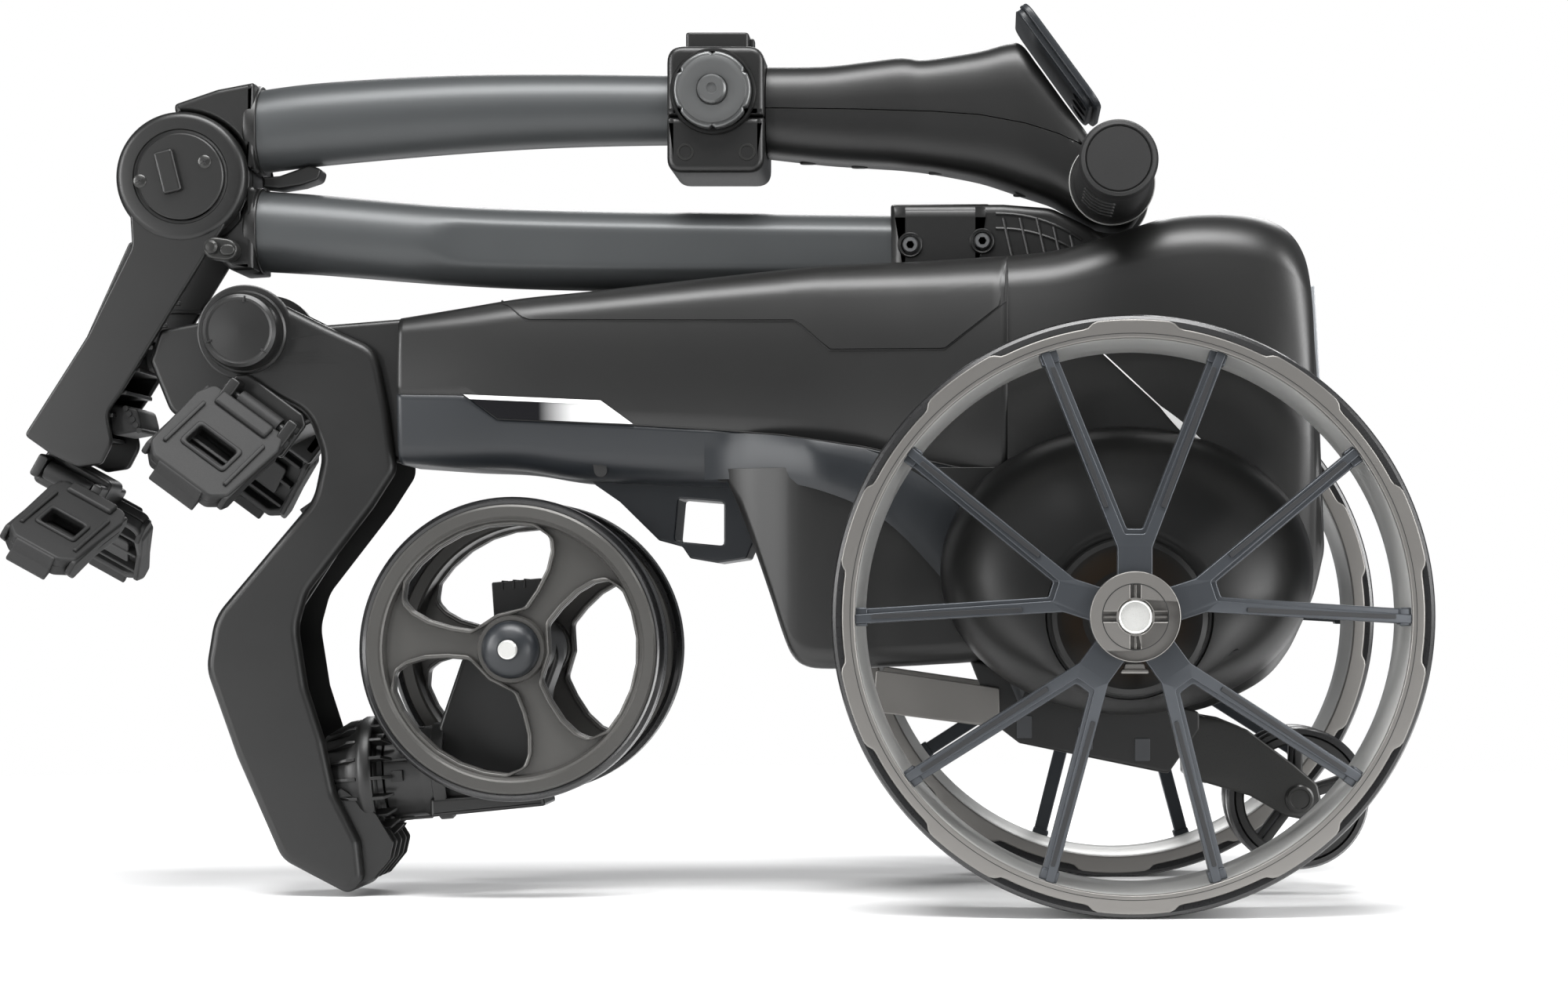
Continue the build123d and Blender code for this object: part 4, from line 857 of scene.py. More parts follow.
def front_bulkhead():
    """Wall that closes the front of the casing behind the folding leg."""
    row = BODY_ROWS[0]
    outline = [(p.y, p.z) for p in upper_section(row, 268)[3:]] + [(p.y, p.z) for p in lower_section(row,
                                                                                                     267)]
    points = [Vector((BULKHEAD, y * 0.985, z)) for y, z in outline]
    points += [Vector((BULKHEAD, -y * 0.985, z)) for y, z in reversed(outline[:-1])]
    back = [p + Vector((2.5, 0, 0)) for p in points]
    return skin([points, back])


COVER_EDGE = [(-110.4, 319), (-95.2, 307), (48.9, 305.8), (66.6, 290.1), (127.1, 289.7), (159, 314.4),
              (159.6, 339)]


def cover_ribbon(offset_out, thick):
    """Raised electronics cover: a patch of the casing's side inside the cover's edge."""
    columns = []
    start, length, count = -109, 268.4, 67
    for i in range(count + 1):
        x = start + i * (length / count)
        row = body_row_at(x)
        top = row[1] - 1.2
        low = min(value_at(COVER_EDGE, x)[1] + 0.6, top - 0.8)
        heights = [low + (top - low) * (1 - (1 - k / 12) ** 1.6) for k in range(13)]
        outer = [Vector((x, -half_width(row, z) - offset_out, z)) for z in heights]
        inner = [Vector((x, -half_width(row, z) - offset_out + thick, z)) for z in reversed(heights)]
        columns.append(outer + inner)
    return skin(columns)


def build_shell_details():
    cover = cover_ribbon(0.9, 1.4)
    piece("electronics_cover_panels", cover.on_both_sides(), "shell_black", "chassis",
          ["electronics_covers"], bevel=0.4, sharp=40)
    lines = seam(COVER_EDGE, 0.55)
    lines.join(seam([(HOUSING_START, 339.5), (HOUSING_START, 312)], 0.5))
    lines.join(seam([(max(x, -163), z) for x, z in SHELL_SPLIT[:-1]] + [(158, 222.7)], 0.4))
    piece("casing_seams", lines.on_both_sides(), "seam_shadow", "chassis")
    recess = Shape()
    for x, z in ((-56.2, 229.8), (8.6, 226.9), (108.5, 201.3)):
        place = Place(on_side(x, max(z, body_row_at(x)[2] + 6), 0.2), (1, 0, 0), (0, 0, 1), (0, -1, 0))
        recess.join(plate([slot(12, 7, angle=radians(100))], place, -2, 0.3, 0.3))
    piece("side_screw_pockets", recess.on_both_sides(), "seam_shadow", "chassis")
    build_badge()


def badge_fade():
    """Black that turns to white towards the back end of the badge."""
    material, tree, shader = new_material("badge_fade")
    place = new_node(tree, "TexCoord")
    split = new_node(tree, "SeparateXYZ")
    along = new_node(tree, "MapRange", {"From Min": -0.088, "From Max": -0.056})
    ramp = new_node(tree, "ValToRGB")
    ramp.color_ramp.elements[0].color = (0.004, 0.004, 0.005, 1)
    ramp.color_ramp.elements[1].color = (0.9, 0.9, 0.9, 1)
    wire(
        tree,
        (place, "Object", split, "Vector"),
        (split, "X", along, "Value"),
        (along, "Result", ramp, "Fac"),
        (ramp, "Color", shader, "Base Color"),
    )
    shader.inputs["Roughness"].default_value = 0.4
    shader.inputs["Specular IOR Level"].default_value = 0.12
    return material


def build_badge():
    """Blank badge: a white edge above a black field that fades to white at its back end."""
    MATERIALS["badge_fade"] = badge_fade()
    field = side_patch([(-128, 267.6), (-54.9, 264.2), (-37.9, 251.8), (-109.9, 255)], 0.9)
    piece("badge_field", field.on_both_sides(), "badge_fade", "chassis")
    edge = side_patch([(-128, 267.6), (-54.9, 264.2), (-51.6, 261.8), (-124.6, 265.2)], 1.1)
    piece("badge_edge", edge.on_both_sides(), "print_white_and_highlight", "chassis")


def side_patch(corners, proud):
    """Thin four-cornered plate laid on the casing's side."""
    top_front, top_back, low_back, low_front = [Vector(corner) for corner in corners]
    columns = []
    for i in range(13):
        top, low = top_front.lerp(top_back, i / 12), low_front.lerp(low_back, i / 12)
        column = [on_side(*top.lerp(low, share), proud) for share in (0, 0.5, 1)]
        column += [p + Vector((0, 1.2, 0)) for p in reversed(column)]
        columns.append(column)
    return skin(columns)


# ---------------------------------------------------------------- motor pods, battery box, bracket
POD = side_place(222, 174)


def ellipse_ring(a, b, drop, out, steps=96):
    return [POD.at(a * cos(2 * pi * i / steps), b * sin(2 * pi * i / steps) - drop,
                   out) for i in range(steps)]


def motor_pod():
    rings = [(97, 75, 0, 76), (96.6, 74.6, 0, 84), (93.6, 72.4, 0.4, 91.5), (88.4, 68.6, 1.4, 98),
             (81, 63.6, 4, 103.6), (72, 58.4, 8, 108), (62, 53, 13, 111.4), (53, 48.6, 18, 113.4),
             (46.4, 45, 21.6, 114.4), (43, 43, 23.4, 114.6), (42, 42, 24, 112.6), (10, 10, 24, 112.6)]
    return skin([ellipse_ring(*ring) for ring in rings])


def motor_cap():
    rows = [(13.2, 106), (40.4, 106), (40.6, 116.4), (39.6, 118), (37, 118.6), (34, 117.4), (26, 113),
            (19, 111.6), (18.2, 113.6), (13.2, 113.6)]
    cap = turned(rows, REAR_WHEEL, 80, closed=True)
    for side in (-1, 1):
        vent = turn_outline(box_outline(13, 3, u=32, radius=1), side * radians(40) - pi / 2)
        cap.join(plate([vent], REAR_WHEEL, 115, 118.6, 0.3))
    return cap


def pod_vents():
    vents = Shape()
    for row in range(3):
        for column in range(2):
            outline = slot(9, 1.6, 36 + column * 12 + row * 2, -34 - row * 4.4, radians(20))
            vents.join(plate([outline], POD, 109.5, 112.4 - column, 0.3))
    return vents


def pod_fender():
    """Broad band of the lower casing that sweeps back and down to the motor pod."""
    upper = [(0, 247), (30, 246), (60, 242), (93, 235), (125, 216), (150, 189), (168, 153), (176, 126)]
    lower = [(0, 222.5), (30, 222), (62, 216), (95, 201), (124, 172), (144, 146), (158, 122), (166, 104)]
    rows = []
    for (x0, z0), (x1, z1) in zip(through(upper, 5), through(lower, 5)):
        row = []
        for k in range(9):
            t = k / 8
            x, z = x0 + (x1 - x0) * t, z0 + (z1 - z0) * t
            row_here = body_row_at(x)
            grow = min(max(x / 60, 0), 1)
            wall = max(half_width(row_here, max(z, row_here[2] + 20)), 46 + 26 * grow)
            row.append(Vector((x, -wall - 0.2 * grow - 2.6 * grow * sin(pi * t) ** 0.5, z)))
        row += [Vector((p.x, -50, p.z)) for p in (row[-1], row[0])]
        rows.append(row)
    return skin(rows)


def pod_edge_highlight():
    """Pale strip that runs down to the pod, widest in its lower half: a painted highlight along the
    fender's edge.
    """
    rows = []
    for i in range(25):
        t = i / 24
        half = 0.3 + 1.9 * max(sin(2 * pi * (t - 0.5)), 0)
        point = on_side(208 + 62 * t, 288 - 58 * t, 0.6)
        out = Vector((0, -0.7, 0))
        rise = Vector((half * 0.7, 0, half * 0.7))
        rows.append([point + rise, point + rise + out, point - rise + out, point - rise])
    return skin(rows)


def build_pods():
    piece("motor_pod_domes", motor_pod().on_both_sides(), "shell_black", "chassis",
          ["motor_pods"], sharp=60)
    piece("motor_pod_caps", motor_cap().on_both_sides(), "black_plastic", "chassis",
          ["motor_pods"])
    piece("casing_fenders", pod_fender().on_both_sides(), "shell_blue", "chassis", ["lower_shell"],
          sharp=50)
    piece("motor_pod_vents", pod_vents().on_both_sides(), "seam_shadow", "chassis")
    # Pale strip by the pod: a painted highlight.
    piece("pod_edge_highlight", pod_edge_highlight().on_both_sides(), "print_white_and_highlight", "chassis")


# Each row: place along the trolley, underside, half width.
BATTERY_ROWS = [
    (10, 226, 50), (13, 219, 53), (20, 202, 57.5), (28, 181, 61.5), (36, 158, 64.5), (42, 140, 66.4),
    (47, 129, 67.6), (54, 123.8, 68.6), (66, 122.4, 69.4), (92, 123.2, 70.4), (120, 124.6, 71),
    (148, 127, 71), (162, 134, 70.4), (172, 144, 68.6), (176, 152, 66),
]


def battery_box():
    """Battery housing: rounded box sections growing out of the casing's underside."""
    rows = []
    for x, bottom, half in through(BATTERY_ROWS, 4):
        soft = min(12, (228 - bottom) * 0.45 + 0.4)
        outline = rounded([(-half * 0.97, bottom, soft), (half * 0.97, bottom, soft), (half, 228, 0.3),
                           (-half, 228, 0.3)], 1, 7)
        rows.append([Vector((x, y, z)) for y, z in outline])
    return skin(rows)


def strap_bracket():
    outline = rounded([(-66, 224), (-47.9, 211.5), (-26.9, 190.8), (-14.3, 187.4), (-10.1, 181.2),
                       (4.6, 178.7), (20, 181), (30, 205), (30, 224)], 2, 3)
    window = rounded([(-18.5, 190.5), (-16.4, 213.6), (8, 211.5), (8, 188)], 2, 3)
    return plate([outline, window], SIDE, -23, 23, 1)


def rear_bracket():
    outline = rounded([(139.5, 128.7), (153.9, 92.9), (166.3, 83.4), (244.6, 67.3), (261, 90.8), (261, 100),
                       (236, 106), (168, 118)], 3, 3)
    bracket = Shape()
    for low, high in ((55, 60), (-60, -55)):
        bracket.join(plate([outline], SIDE, low, high, 1))
    floor = rounded([(139.5, 128.7), (153.9, 92.9), (166.3, 83.4), (244.6, 67.3), (248, 72), (168, 90),
                     (158, 96), (146, 128)], 1.5, 3)
    bracket.join(plate([floor], SIDE, -57, 57, 1))
    for across in (-30, 0, 30):
        bracket.join(plate([outline], SIDE, across - 1.6, across + 1.6, 0.6))
    return bracket


def stay_bars():
    bar = plate([rounded([(91, 122), (156, 112.5), (156, 91.5), (89.5, 100)], 1.5, 3)], SIDE, 60.4, 63.4,
                0.7)
    return bar.on_both_sides()


def antitip_arms():
    outline = rounded([(256, 98), (276, 94.5), (288.5, 89.5), (313.8, 70.6), (326.4, 60, 6), (328.5, 50, 6),
                       (320, 41, 6), (309.6, 43), (290, 54), (256, 64)], 6)
    arm = plate([outline], SIDE, 25.6, 30.4, 1.4)
    place = side_place(ANTITIP.x, ANTITIP.z)
    arm.join(turned([(7.6, 28), (7.6, 31.6), (6.6, 32.4), (5.4, 32.4), (5, 31.8), (0.8, 31.8)], place, 40))
    arms = arm.on_both_sides()
    return arms.join(plate([rounded([(256, 98), (268, 96), (268, 60), (256, 64)], 2)], SIDE, -28, 28, 1))


def antitip_wheel_parts():
    place = side_place(ANTITIP.x, ANTITIP.z)
    wheel = Shape()
    tyres = Shape()
    for across in (-16, 16):
        rows = [(29, across - 5), (30, across - 6), (33.4, across - 6), (34.4, across - 5),
                (34.4, across + 5), (33.4, across + 6), (30, across + 6), (29, across + 5)]
        wheel.join(turned(rows, place, 64, closed=True))
        for arm in range(5):
            blade = turn_outline(box_outline(25, 4.6, u=18, radius=1), arm * 2 * pi / 5 + 0.3)
            wheel.join(plate([blade], place, across - 4, across + 4, 0.8))
        rows = [(ANTITIP_R - 3.9, across - 7), (ANTITIP_R - 1.4, across - 7), (ANTITIP_R, across - 4),
                (ANTITIP_R, across + 4), (ANTITIP_R - 1.4, across + 7), (ANTITIP_R - 3.9, across + 7)]
        tyres.join(turned(rows, place, 72, closed=True))
    wheel.join(turned([(8.6, -25), (9, -24), (9, 24), (8.6, 25), (4.2, 25), (4.2, -25)], place, 40,
                      closed=True))
    return wheel, tyres


def bracket_pads():
    pads = Shape()
    for u, v in ((169, 92), (201, 86), (231, 80)):
        pads.join(plate([box_outline(8, 12, u, v, 0.8)], SIDE, 60, 60.8, 0.3))
    return pads


def rear_lens():
    edge = rounded([(320.4, 327), (324.4, 327), (328.2, 261), (324.2, 261)], 0.8)
    return plate([edge], SIDE, -31, 31, 0.7)


def build_under_parts():
    piece("battery_box", battery_box(), "shell_black", "chassis", ["battery_housing"], sharp=50)
    piece("strap_bracket", strap_bracket(), "shell_blue", "chassis", ["lower_shell"])
    piece("rear_frame_bracket", rear_bracket(), "black_plastic", "chassis", ["rear_bracket"])
    piece("stay_bars", stay_bars(), "wheel_grey", "chassis")
    piece("bracket_pads", bracket_pads().on_both_sides(), "battery_grey", "chassis",
          slot_name="black_plastic")
    piece("antitip_arms", antitip_arms(), "black_metal", "chassis", ["antitip_frame"])
    wheel, tyres = antitip_wheel_parts()
    piece("antitip_hubs", wheel, "black_plastic", "antitip_wheels", ["antitip_wheels"])
    piece("antitip_treads", tyres, "tyre_black", "antitip_wheels", ["antitip_tyres"])
    piece("rear_lens", rear_lens(), "light_lens", "chassis", ["rear_light"])


# ---------------------------------------------------------------- tubes and stem hinge
def tube(rows, flats=None, steps=56):
    """Round tube along X through (x, centre height, radius); flats narrows its sides."""
    sections = []
    for x, z, radius in through(rows, 10):
        reach = radius * (value_at(flats, x)[1] if flats else 1)
        section = []
        for i in range(steps):
            a = 2 * pi * i / steps
            y = max(-reach, min(reach, radius * cos(a)))
            section.append(Vector((x, y, z + radius * sin(a))))
        sections.append(section)
    return skin(sections)


HINGE_CLEAR = 35.8
STEM_BOLTS = ((108.1, 349.4), (146.8, 351.5))
UPPER_TUBE = [(-247, 413.2, 22.4), (-212, 417.6, 22.4), (-145, 422.7, 21.5), (-86, 425, 20.1),
              (-23, 425.4, 19), (36, 424.6, 18.8)]
LOWER_TUBE = [(-247, 359.5, 21.9), (-212, 357.3, 21.7), (-145, 351.9, 21.6), (-86, 349.4, 21.8),
              (0, 348, 21.6), (101, 347, 21.4)]
LOWER_TUBE_FLATS = [(-250, 1), (-152, 1), (-138, 0.87), (110, 0.87)]


def hinge_arc(start, finish, count=12):
    """Points on the clearance circle round the stem hinge, between two angles in degrees."""
    turns = [radians(start + (finish - start) * i / count) for i in range(count + 1)]
    return [(HINGE.x + HINGE_CLEAR * cos(a), HINGE.z + HINGE_CLEAR * sin(a), 0.05) for a in turns]


def upper_casting():
    top = [(-244.8, 437.2, 1), (-264.6, 433.4, 14), (-288, 425.4, 8)]
    heel = rounded(top + hinge_arc(98, 8) + [(-244.8, 391, 1)], 2, 5)
    casting = plate([heel], SIDE, -22.6, 22.6, 3, 5)
    tongue = turned([(34.6, -11.6), (34.6, 11.6)], side_place(HINGE.x, HINGE.z), 72)
    web = rounded([(-262, 424), (-290, 416), (-290, 392), (-256, 392)], 2)
    casting.join(tongue, plate([web], SIDE, -11.6, 11.6, 0.6))
    rows = [(-251.6, 413.4, 21.4), (-250.6, 413.6, 23.4), (-248.6, 413.8, 24.2), (-244.6, 413.9, 24.2),
            (-243.8, 413.9, 23.4)]
    return casting.join(tube(rows))


def lower_knuckle():
    low = [(-244.8, 382, 1), (-244.8, 336.6, 1), (-257, 335.8, 5), (-266.5, 345, 6)]
    heel = rounded(low + hinge_arc(-62, -10), 2, 5)
    shape = plate([heel], SIDE, -22.6, 22.6, 3, 5)
    disc = turned([(33.4, 12.4), (34.6, 13.4), (34.6, 21), (33.4, 22)], side_place(HINGE.x, HINGE.z), 72)
    ear = rounded([(-252, 378), (-252, 358), (-268, 352), (-290, 366), (-280, 390)], 2)
    disc.join(plate([ear], SIDE, 12.6, 22, 0.6))
    rows = [(-251.6, 359.4, 20.6), (-250.6, 359.4, 22.8), (-248.6, 359.4, 23.5), (-244.6, 359.4, 23.5),
            (-243.8, 359.4, 22.8)]
    return shape.join(disc.on_both_sides(), tube(rows))


def stem_casting():
    outline = rounded([(98.6, 371.6, 1.5), (158, 371.8), (184, 369.8, 20), (206, 359, 16), (222, 346, 12),
                       (228, 333, 12), (220, 317, 10), (203, 310.4, 10), (188, 315, 8), (174, 325.5, 6),
                       (98.6, 325.5, 1.5)], 4, 4)
    casting = plate([outline], SIDE, -23.4, 23.4, 5, 4)
    sleeve = rounded([(97.4, 372.2), (151, 372.4), (151, 326), (97.4, 325)], 2)
    return casting.join(plate([sleeve], SIDE, -24.2, 24.2, 8, 4))


def casting_ribs():
    """Curved ribs on the moulded elbow behind the bolted sleeve."""
    ribs = Shape()
    for i in range(5):
        x = 158 + i * 9
        z = 364 - max(i - 2, 0) * 4.6
        path = [Vector((x + t * 6, -23.4, z - t * 26)) for t in (0, 0.25, 0.5, 0.75, 1)]
        ribs.join(swept(path, 1, 8))
    for lift in (0, -8):
        path = [Vector((154 + 46 * t, -23.3,
                        366.4 + lift - 14 * t ** 2.2)) for t in [i / 10 for i in range(11)]]
        ribs.join(swept(path, 0.9, 8))
    return ribs


def stem_bolts():
    bolts = Shape()
    for x, z in STEM_BOLTS:
        bolts.join(screw(side_place(x, z, 23.9), 4.3, 2.4))
    return bolts


def bolt_seats():
    seats = Shape()
    ring = [(4.6, 23.6), (6.4, 23.6), (6.9, 24.6), (6.2, 25.4), (5, 24.6)]
    for x, z in STEM_BOLTS:
        seats.join(turned(ring, side_place(x, z), 40, closed=True))
    return seats


def lock_peg():
    peg = plate([slot(18.5, 12, -260.5, 346.5, radians(-8))], SIDE, 22, 33, 1.6, 4)
    peg.join(turned([(3.8, 32), (3.6, 35.6), (2.4, 36.6), (0.6, 36.8)], side_place(-264.8, 347.2), 32))
    return peg.join(plate([slot(8.2, 6.2, -256.4, 345.8)], SIDE, 32, 34.6, 1.2, 3))


def fold_lever():
    edge = rounded([(-243, 388), (-234, 388.6, 6), (-218, 394.4, 6), (-211, 392.6, 4), (-213, 386.6, 4),
                    (-222, 383.6, 4), (-234, 381.6, 6), (-243, 382.6)], 1.2, 5)
    return plate([edge], SIDE, -9, 9, 1.4, 3)


def build_tubes():
    piece("handle_tube", tube(UPPER_TUBE), "graphite_tube", "upper_stem", ["upper_tube"], sharp=60)
    piece("stem_tube", tube(LOWER_TUBE, LOWER_TUBE_FLATS), "graphite_tube", "lower_stem", ["lower_tube"],
          sharp=60)
    piece("upper_hinge_casting", upper_casting(), "black_plastic", "upper_stem", ["upper_casting"],
          sharp=50)
    piece("lower_hinge_knuckle", lower_knuckle(), "black_plastic", "lower_stem", ["lower_knuckle"],
          sharp=50)
    piece("stem_elbow", stem_casting(), "black_plastic", "lower_stem", ["stem_casting"], sharp=50)
    piece("stem_elbow_ribs", casting_ribs().on_both_sides(), "black_plastic", "lower_stem")
    piece("stem_bolts", stem_bolts(), "motor_steel", "lower_stem", ["stem_fasteners"], "bright_steel")
    piece("stem_bolt_seats", bolt_seats(), "black_plastic", "lower_stem")
    piece("stem_lock_peg", lock_peg(), "black_metal", "lower_stem", ["stem_fasteners"])
    piece("fold_lever", fold_lever(), "black_plastic", "latch_lever", ["latch_lever"])


# ---------------------------------------------------------------- bag arm
ARM_HALF = 30


def arm_outline():
    """Bag arm seen from the side, running down from the hinge disc."""
    return rounded([
        (-309.5, 366, 3), (-308.4, 348, 12), (-332.4, 300, 40), (-366.1, 247, 3), (-352, 237, 6),
        (-337, 229.5, 4), (-324.6, 231.4, 4), (-318.6, 243, 10), (-321.6, 259, 10), (-313.5, 270.5, 14),
        (-285, 317, 40), (-266, 348, 10), (-256.6, 362, 6), (-280, 380, 3),
    ], 4, 5)


def bag_arm():
    hinge = side_place(HINGE.x, HINGE.z)
    arm = Shape()
    for flip in (1, -1):
        low, high = sorted((flip * 26, flip * ARM_HALF))
        arm.join(plate([arm_outline()], SIDE, low, high, 1.6, 3))
    disc = turned([(30, 22.6), (34, 22.8), (34.9, 24), (34.9, 28.6), (33.2, 30.6), (31, 31.2), (25.6, 31.2),
                   (25, 30.4), (24, 30.4), (23.6, 30)], hinge, 96)
    arm.join(disc.on_both_sides())
    spine = rounded([(-309.5, 352), (-332.9, 300), (-366.1, 247), (-359, 244), (-326, 297), (-303.5, 344)],
                    2, 4)
    foot = rounded([(-333, 299), (-366.1, 247), (-359, 244), (-327, 295)], 2, 4)
    arm.join(plate([spine], SIDE, 24, 28.6, 1.2), plate([spine], SIDE, -28.6, -24, 1.2))
    arm.join(plate([foot], SIDE, -28, 28, 1.2))
    for i in range(7):
        z = 318 - i * 12
        x = -296 - i * 7.2
        rib = box_outline(26, 2.2, x, z, 0.6)
        for low, high in ([(24, 28.6), (-28.6, -24)] if z > 292 else [(-27, 27)]):
            arm.join(plate([rib], SIDE, low, high, 0.5))
    return arm


def ribbed_strap():
    """Curved strap with grip ribs between the two cheeks of the arm."""
    strap = Shape()
    for x, z in ((-297, 290), (-316, 256)):
        body = rounded([(x - 8, z + 9), (x + 8, z + 6), (x + 11, z - 6), (x - 6, z - 9)], 4, 4)
        strap.join(plate([body], SIDE, -20, 20, 1.5))
        for i in range(5):
            place = side_place(x + 2 + i * 1.8, z + 6 - i * 3)
            strap.join(turned([(1.5, -21), (1.5, 21)], place, 12))
    return strap


def hinge_cap():
    hinge = side_place(HINGE.x, HINGE.z)
    cap = turned([(22.9, 30), (23.1, 31.4), (22.4, 32), (2, 32.2)], hinge, 96)
    key = Place((-288.2, 0, 387.6), (0.24, 0, -0.97), (0.97, 0, 0.24), (0, -1, 0))
    return cap.join(plate([box_outline(23, 10.4, radius=1.6)], key, 31, 35.2, 1.5, 4))


def cross_screw(x, z, out, radius=3.6):
    place = side_place(x, z, out)
    head = turned([(radius, -0.5), (radius, 0.2), (radius * 0.8, 0.8), (radius * 0.4, 1), (0.2, 1.05)],
                  place, 32)
    cross = Shape()
    for turn in (radians(35), radians(125)):
        bar = turn_outline(box_outline(radius * 1.2, 0.7, radius=0.2), turn)
        cross.join(plate([bar], place, 0.6, 1.15, 0.1))
    return head, cross


def build_arm():
    piece("bag_arm_frame", bag_arm(), "black_plastic", "lower_stem", ["bag_arm"], sharp=50)
    piece("bag_arm_straps", ribbed_strap(), "grip_rubber", "lower_stem")
    piece("hinge_cover", hinge_cap().on_both_sides(), "shell_black", "lower_stem", ["hinge_caps"])
    heads, crosses = Shape(), Shape()
    for x, z in ((-303.5, 382.7), (-269, 393.1)):
        head, cross = cross_screw(x, z, 32)
        heads.join(head)
        crosses.join(cross)
    piece("hinge_screws", heads.on_both_sides(), "black_metal", "lower_stem")
    piece("hinge_screw_slots", crosses.on_both_sides(), "seam_shadow", "lower_stem",
          slot_name="black_metal")


# ---------------------------------------------------------------- bag cradles
UPPER_PIN_X, UPPER_PIN_Z = -345, 223
UPPER_PIN_OUT = 19


def cradle_place(low, slope, splay):
    """Wing frame of a left cradle: u along its hinge, v out along the wing."""
    along = Vector((cos(radians(slope)), 0, -sin(radians(slope))))
    down = Vector((-sin(radians(slope)), 0, -cos(radians(slope))))
    out = down * cos(radians(splay)) + Vector((0, -1, 0)) * sin(radians(splay))
    return Place(low, along, out, along.cross(out))


def wing(place, width, reach, shift):
    """Moulded wing with a rim, a strap window, a hooked lip and its hinge barrel."""
    left, right = shift - width / 2, shift + width / 2
    outline = rounded([(left + 4, 3), (right - 4, 3), (right, 14), (right - 2, reach - 6),
                       (right - 9, reach + 1), (left + 9, reach + 1), (left + 2, reach - 6), (left, 14)], 5,
                      4)
    window = box_outline(width * 0.44, reach * 0.22, shift, reach * 0.60, 2)
    rim = [(u * 0.86 + shift * 0.14, v * 0.84 + reach * 0.09) for u, v in outline]
    made = plate([outline, window], place, -3, 3.2, 1.6, 3)
    made.join(plate([outline, rim], place, 2, 8.6, 1.4, 3))
    made.join(plate([box_outline(width * 0.56, reach * 0.34, shift, reach * 0.58, 2)], place, 5.2, 7.6,
                    0.8))
    for side in (-1, 1):
        rib = box_outline(2.2, reach * 0.56, shift + side * width * 0.36, reach * 0.56, 0.8)
        made.join(plate([rib], place, -4.6, 0, 0.7))
    made.join(plate([box_outline(width * 0.62, 9, shift, 9, 2)], place, -5.4, 2, 1.6, 3))
    frame_hole = box_outline(width * 0.44 + 5, reach * 0.22 + 5, shift, reach * 0.60, 3)
    made.join(plate([frame_hole, window], place, -4.4, 4.6, 1, 3))
    deep = 0.17 * reach
    cheek = rounded([(5, -2), (reach - 4, -2), (reach, 4), (reach - 9, deep), (reach * 0.5, deep * 0.72),
                     (13, deep), (4, 5)], 3, 4)
    for edge in (left + 1, right - 4.2):
        made.join(plate([cheek], Place(place.at(edge, 0, 0), place.v, place.w, place.u), 0, 3.2, 1))
    for step in range(3):
        slat = box_outline(width * 0.8, 2.4, shift, reach * (0.30 + 0.27 * step), 0.8)
        made.join(plate([slat], place, 3, deep * 0.7, 0.6))
    barrel = Place(place.origin, place.v, place.w, place.u)
    made.join(turned([(5.2, -13), (5.4, -12), (5.4, 12), (5.2, 13)], barrel, 28))
    lip = rounded([(-3, reach - 3), (3.4, reach - 3), (8, reach + 1), (10.4, reach + 6), (7.8, reach + 7),
                   (4, reach + 3.4), (-2, reach + 2)], 1.2, 3)
    across = Place(place.at(shift, 0, 0), place.w, place.v, place.u)
    return made.join(plate([lip], across, -width * 0.26, width * 0.26, 0.8))


def hinge_block(place, half, foot):
    """Solid moulded bracket that carries a wing's pin."""
    block = rounded([(-half - 8, -13), (half + 8, -13), (half + 8, 9), (half + 3, 13), (-half - 3, 13),
                     (-half - 8, 9)], 2.5, 3)
    upright = Place(place.origin, place.u, (-place.u.z, 0, place.u.x), (0, -1, 0))
    low = foot - abs(place.origin.y)
    made = plate([block], upright, low, low + 4, 1.2)
    for side in (-1, 1):
        ear = rounded([(side * (half + 0.8), -8), (side * (half + 7), -8), (side * (half + 7), 8),
                       (side * (half + 0.8), 8)], 2, 3)
        made.join(plate([ear], upright, low, 7, 1.2))
    pin = Place(place.origin, place.v, place.w, place.u)
    return made.join(turned([(3, -half - 8), (3, half + 8)], pin, 20))


def arm_bracket(wing_place):
    """Block between the two upper wings, with an ear and a pin on each side."""
    upright = Place((UPPER_PIN_X, 0, UPPER_PIN_Z), wing_place.u, (-wing_place.u.z, 0, wing_place.u.x),
                    (0, -1, 0))
    mount = plate([box_outline(40, 20, radius=4)], upright, -12.6, 12.6, 2)
    for side in (-1, 1):
        mount.join(plate([box_outline(5.6, 13, side * 16.6, 0, 2)], upright, -25, 25, 1.2))
        end = (UPPER_PIN_X, side * UPPER_PIN_OUT, UPPER_PIN_Z)
        mount.join(turned([(3, -18.5), (3, 18.5)], Place(end, wing_place.v, wing_place.w, wing_place.u),
                          20))
    return mount


def build_cradles():
    lower = cradle_place((-237.7, -41.5, 258), 36.5, 40)
    upper = cradle_place((UPPER_PIN_X, -UPPER_PIN_OUT, UPPER_PIN_Z), 29, 60)
    for name in ("left", "right"):
        for level, place, width, reach, shift in (("lower", lower, 54, 62, -4),
                                                  ("upper", upper, 44, 68, 18)):
            shape = wing(place, width, reach, shift)
            node = f"{level}_cradle_{name}"
            # The wings use a darker copy of black plastic: painted shade.
            piece(f"{level}_wing_{name}", shape.for_side(name), "cradle_black", node, [node], sharp=45)
    piece("leg_cradle_brackets", hinge_block(lower, 15, 33.4).on_both_sides(), "black_plastic", "front_leg",
          ["lower_cradle_hinges"], sharp=45)
    piece("arm_cradle_bracket", arm_bracket(upper), "black_plastic", "lower_stem", ["upper_cradle_mount"],
          sharp=45)


# ---------------------------------------------------------------- front leg and caster
LEG_HALF = 33


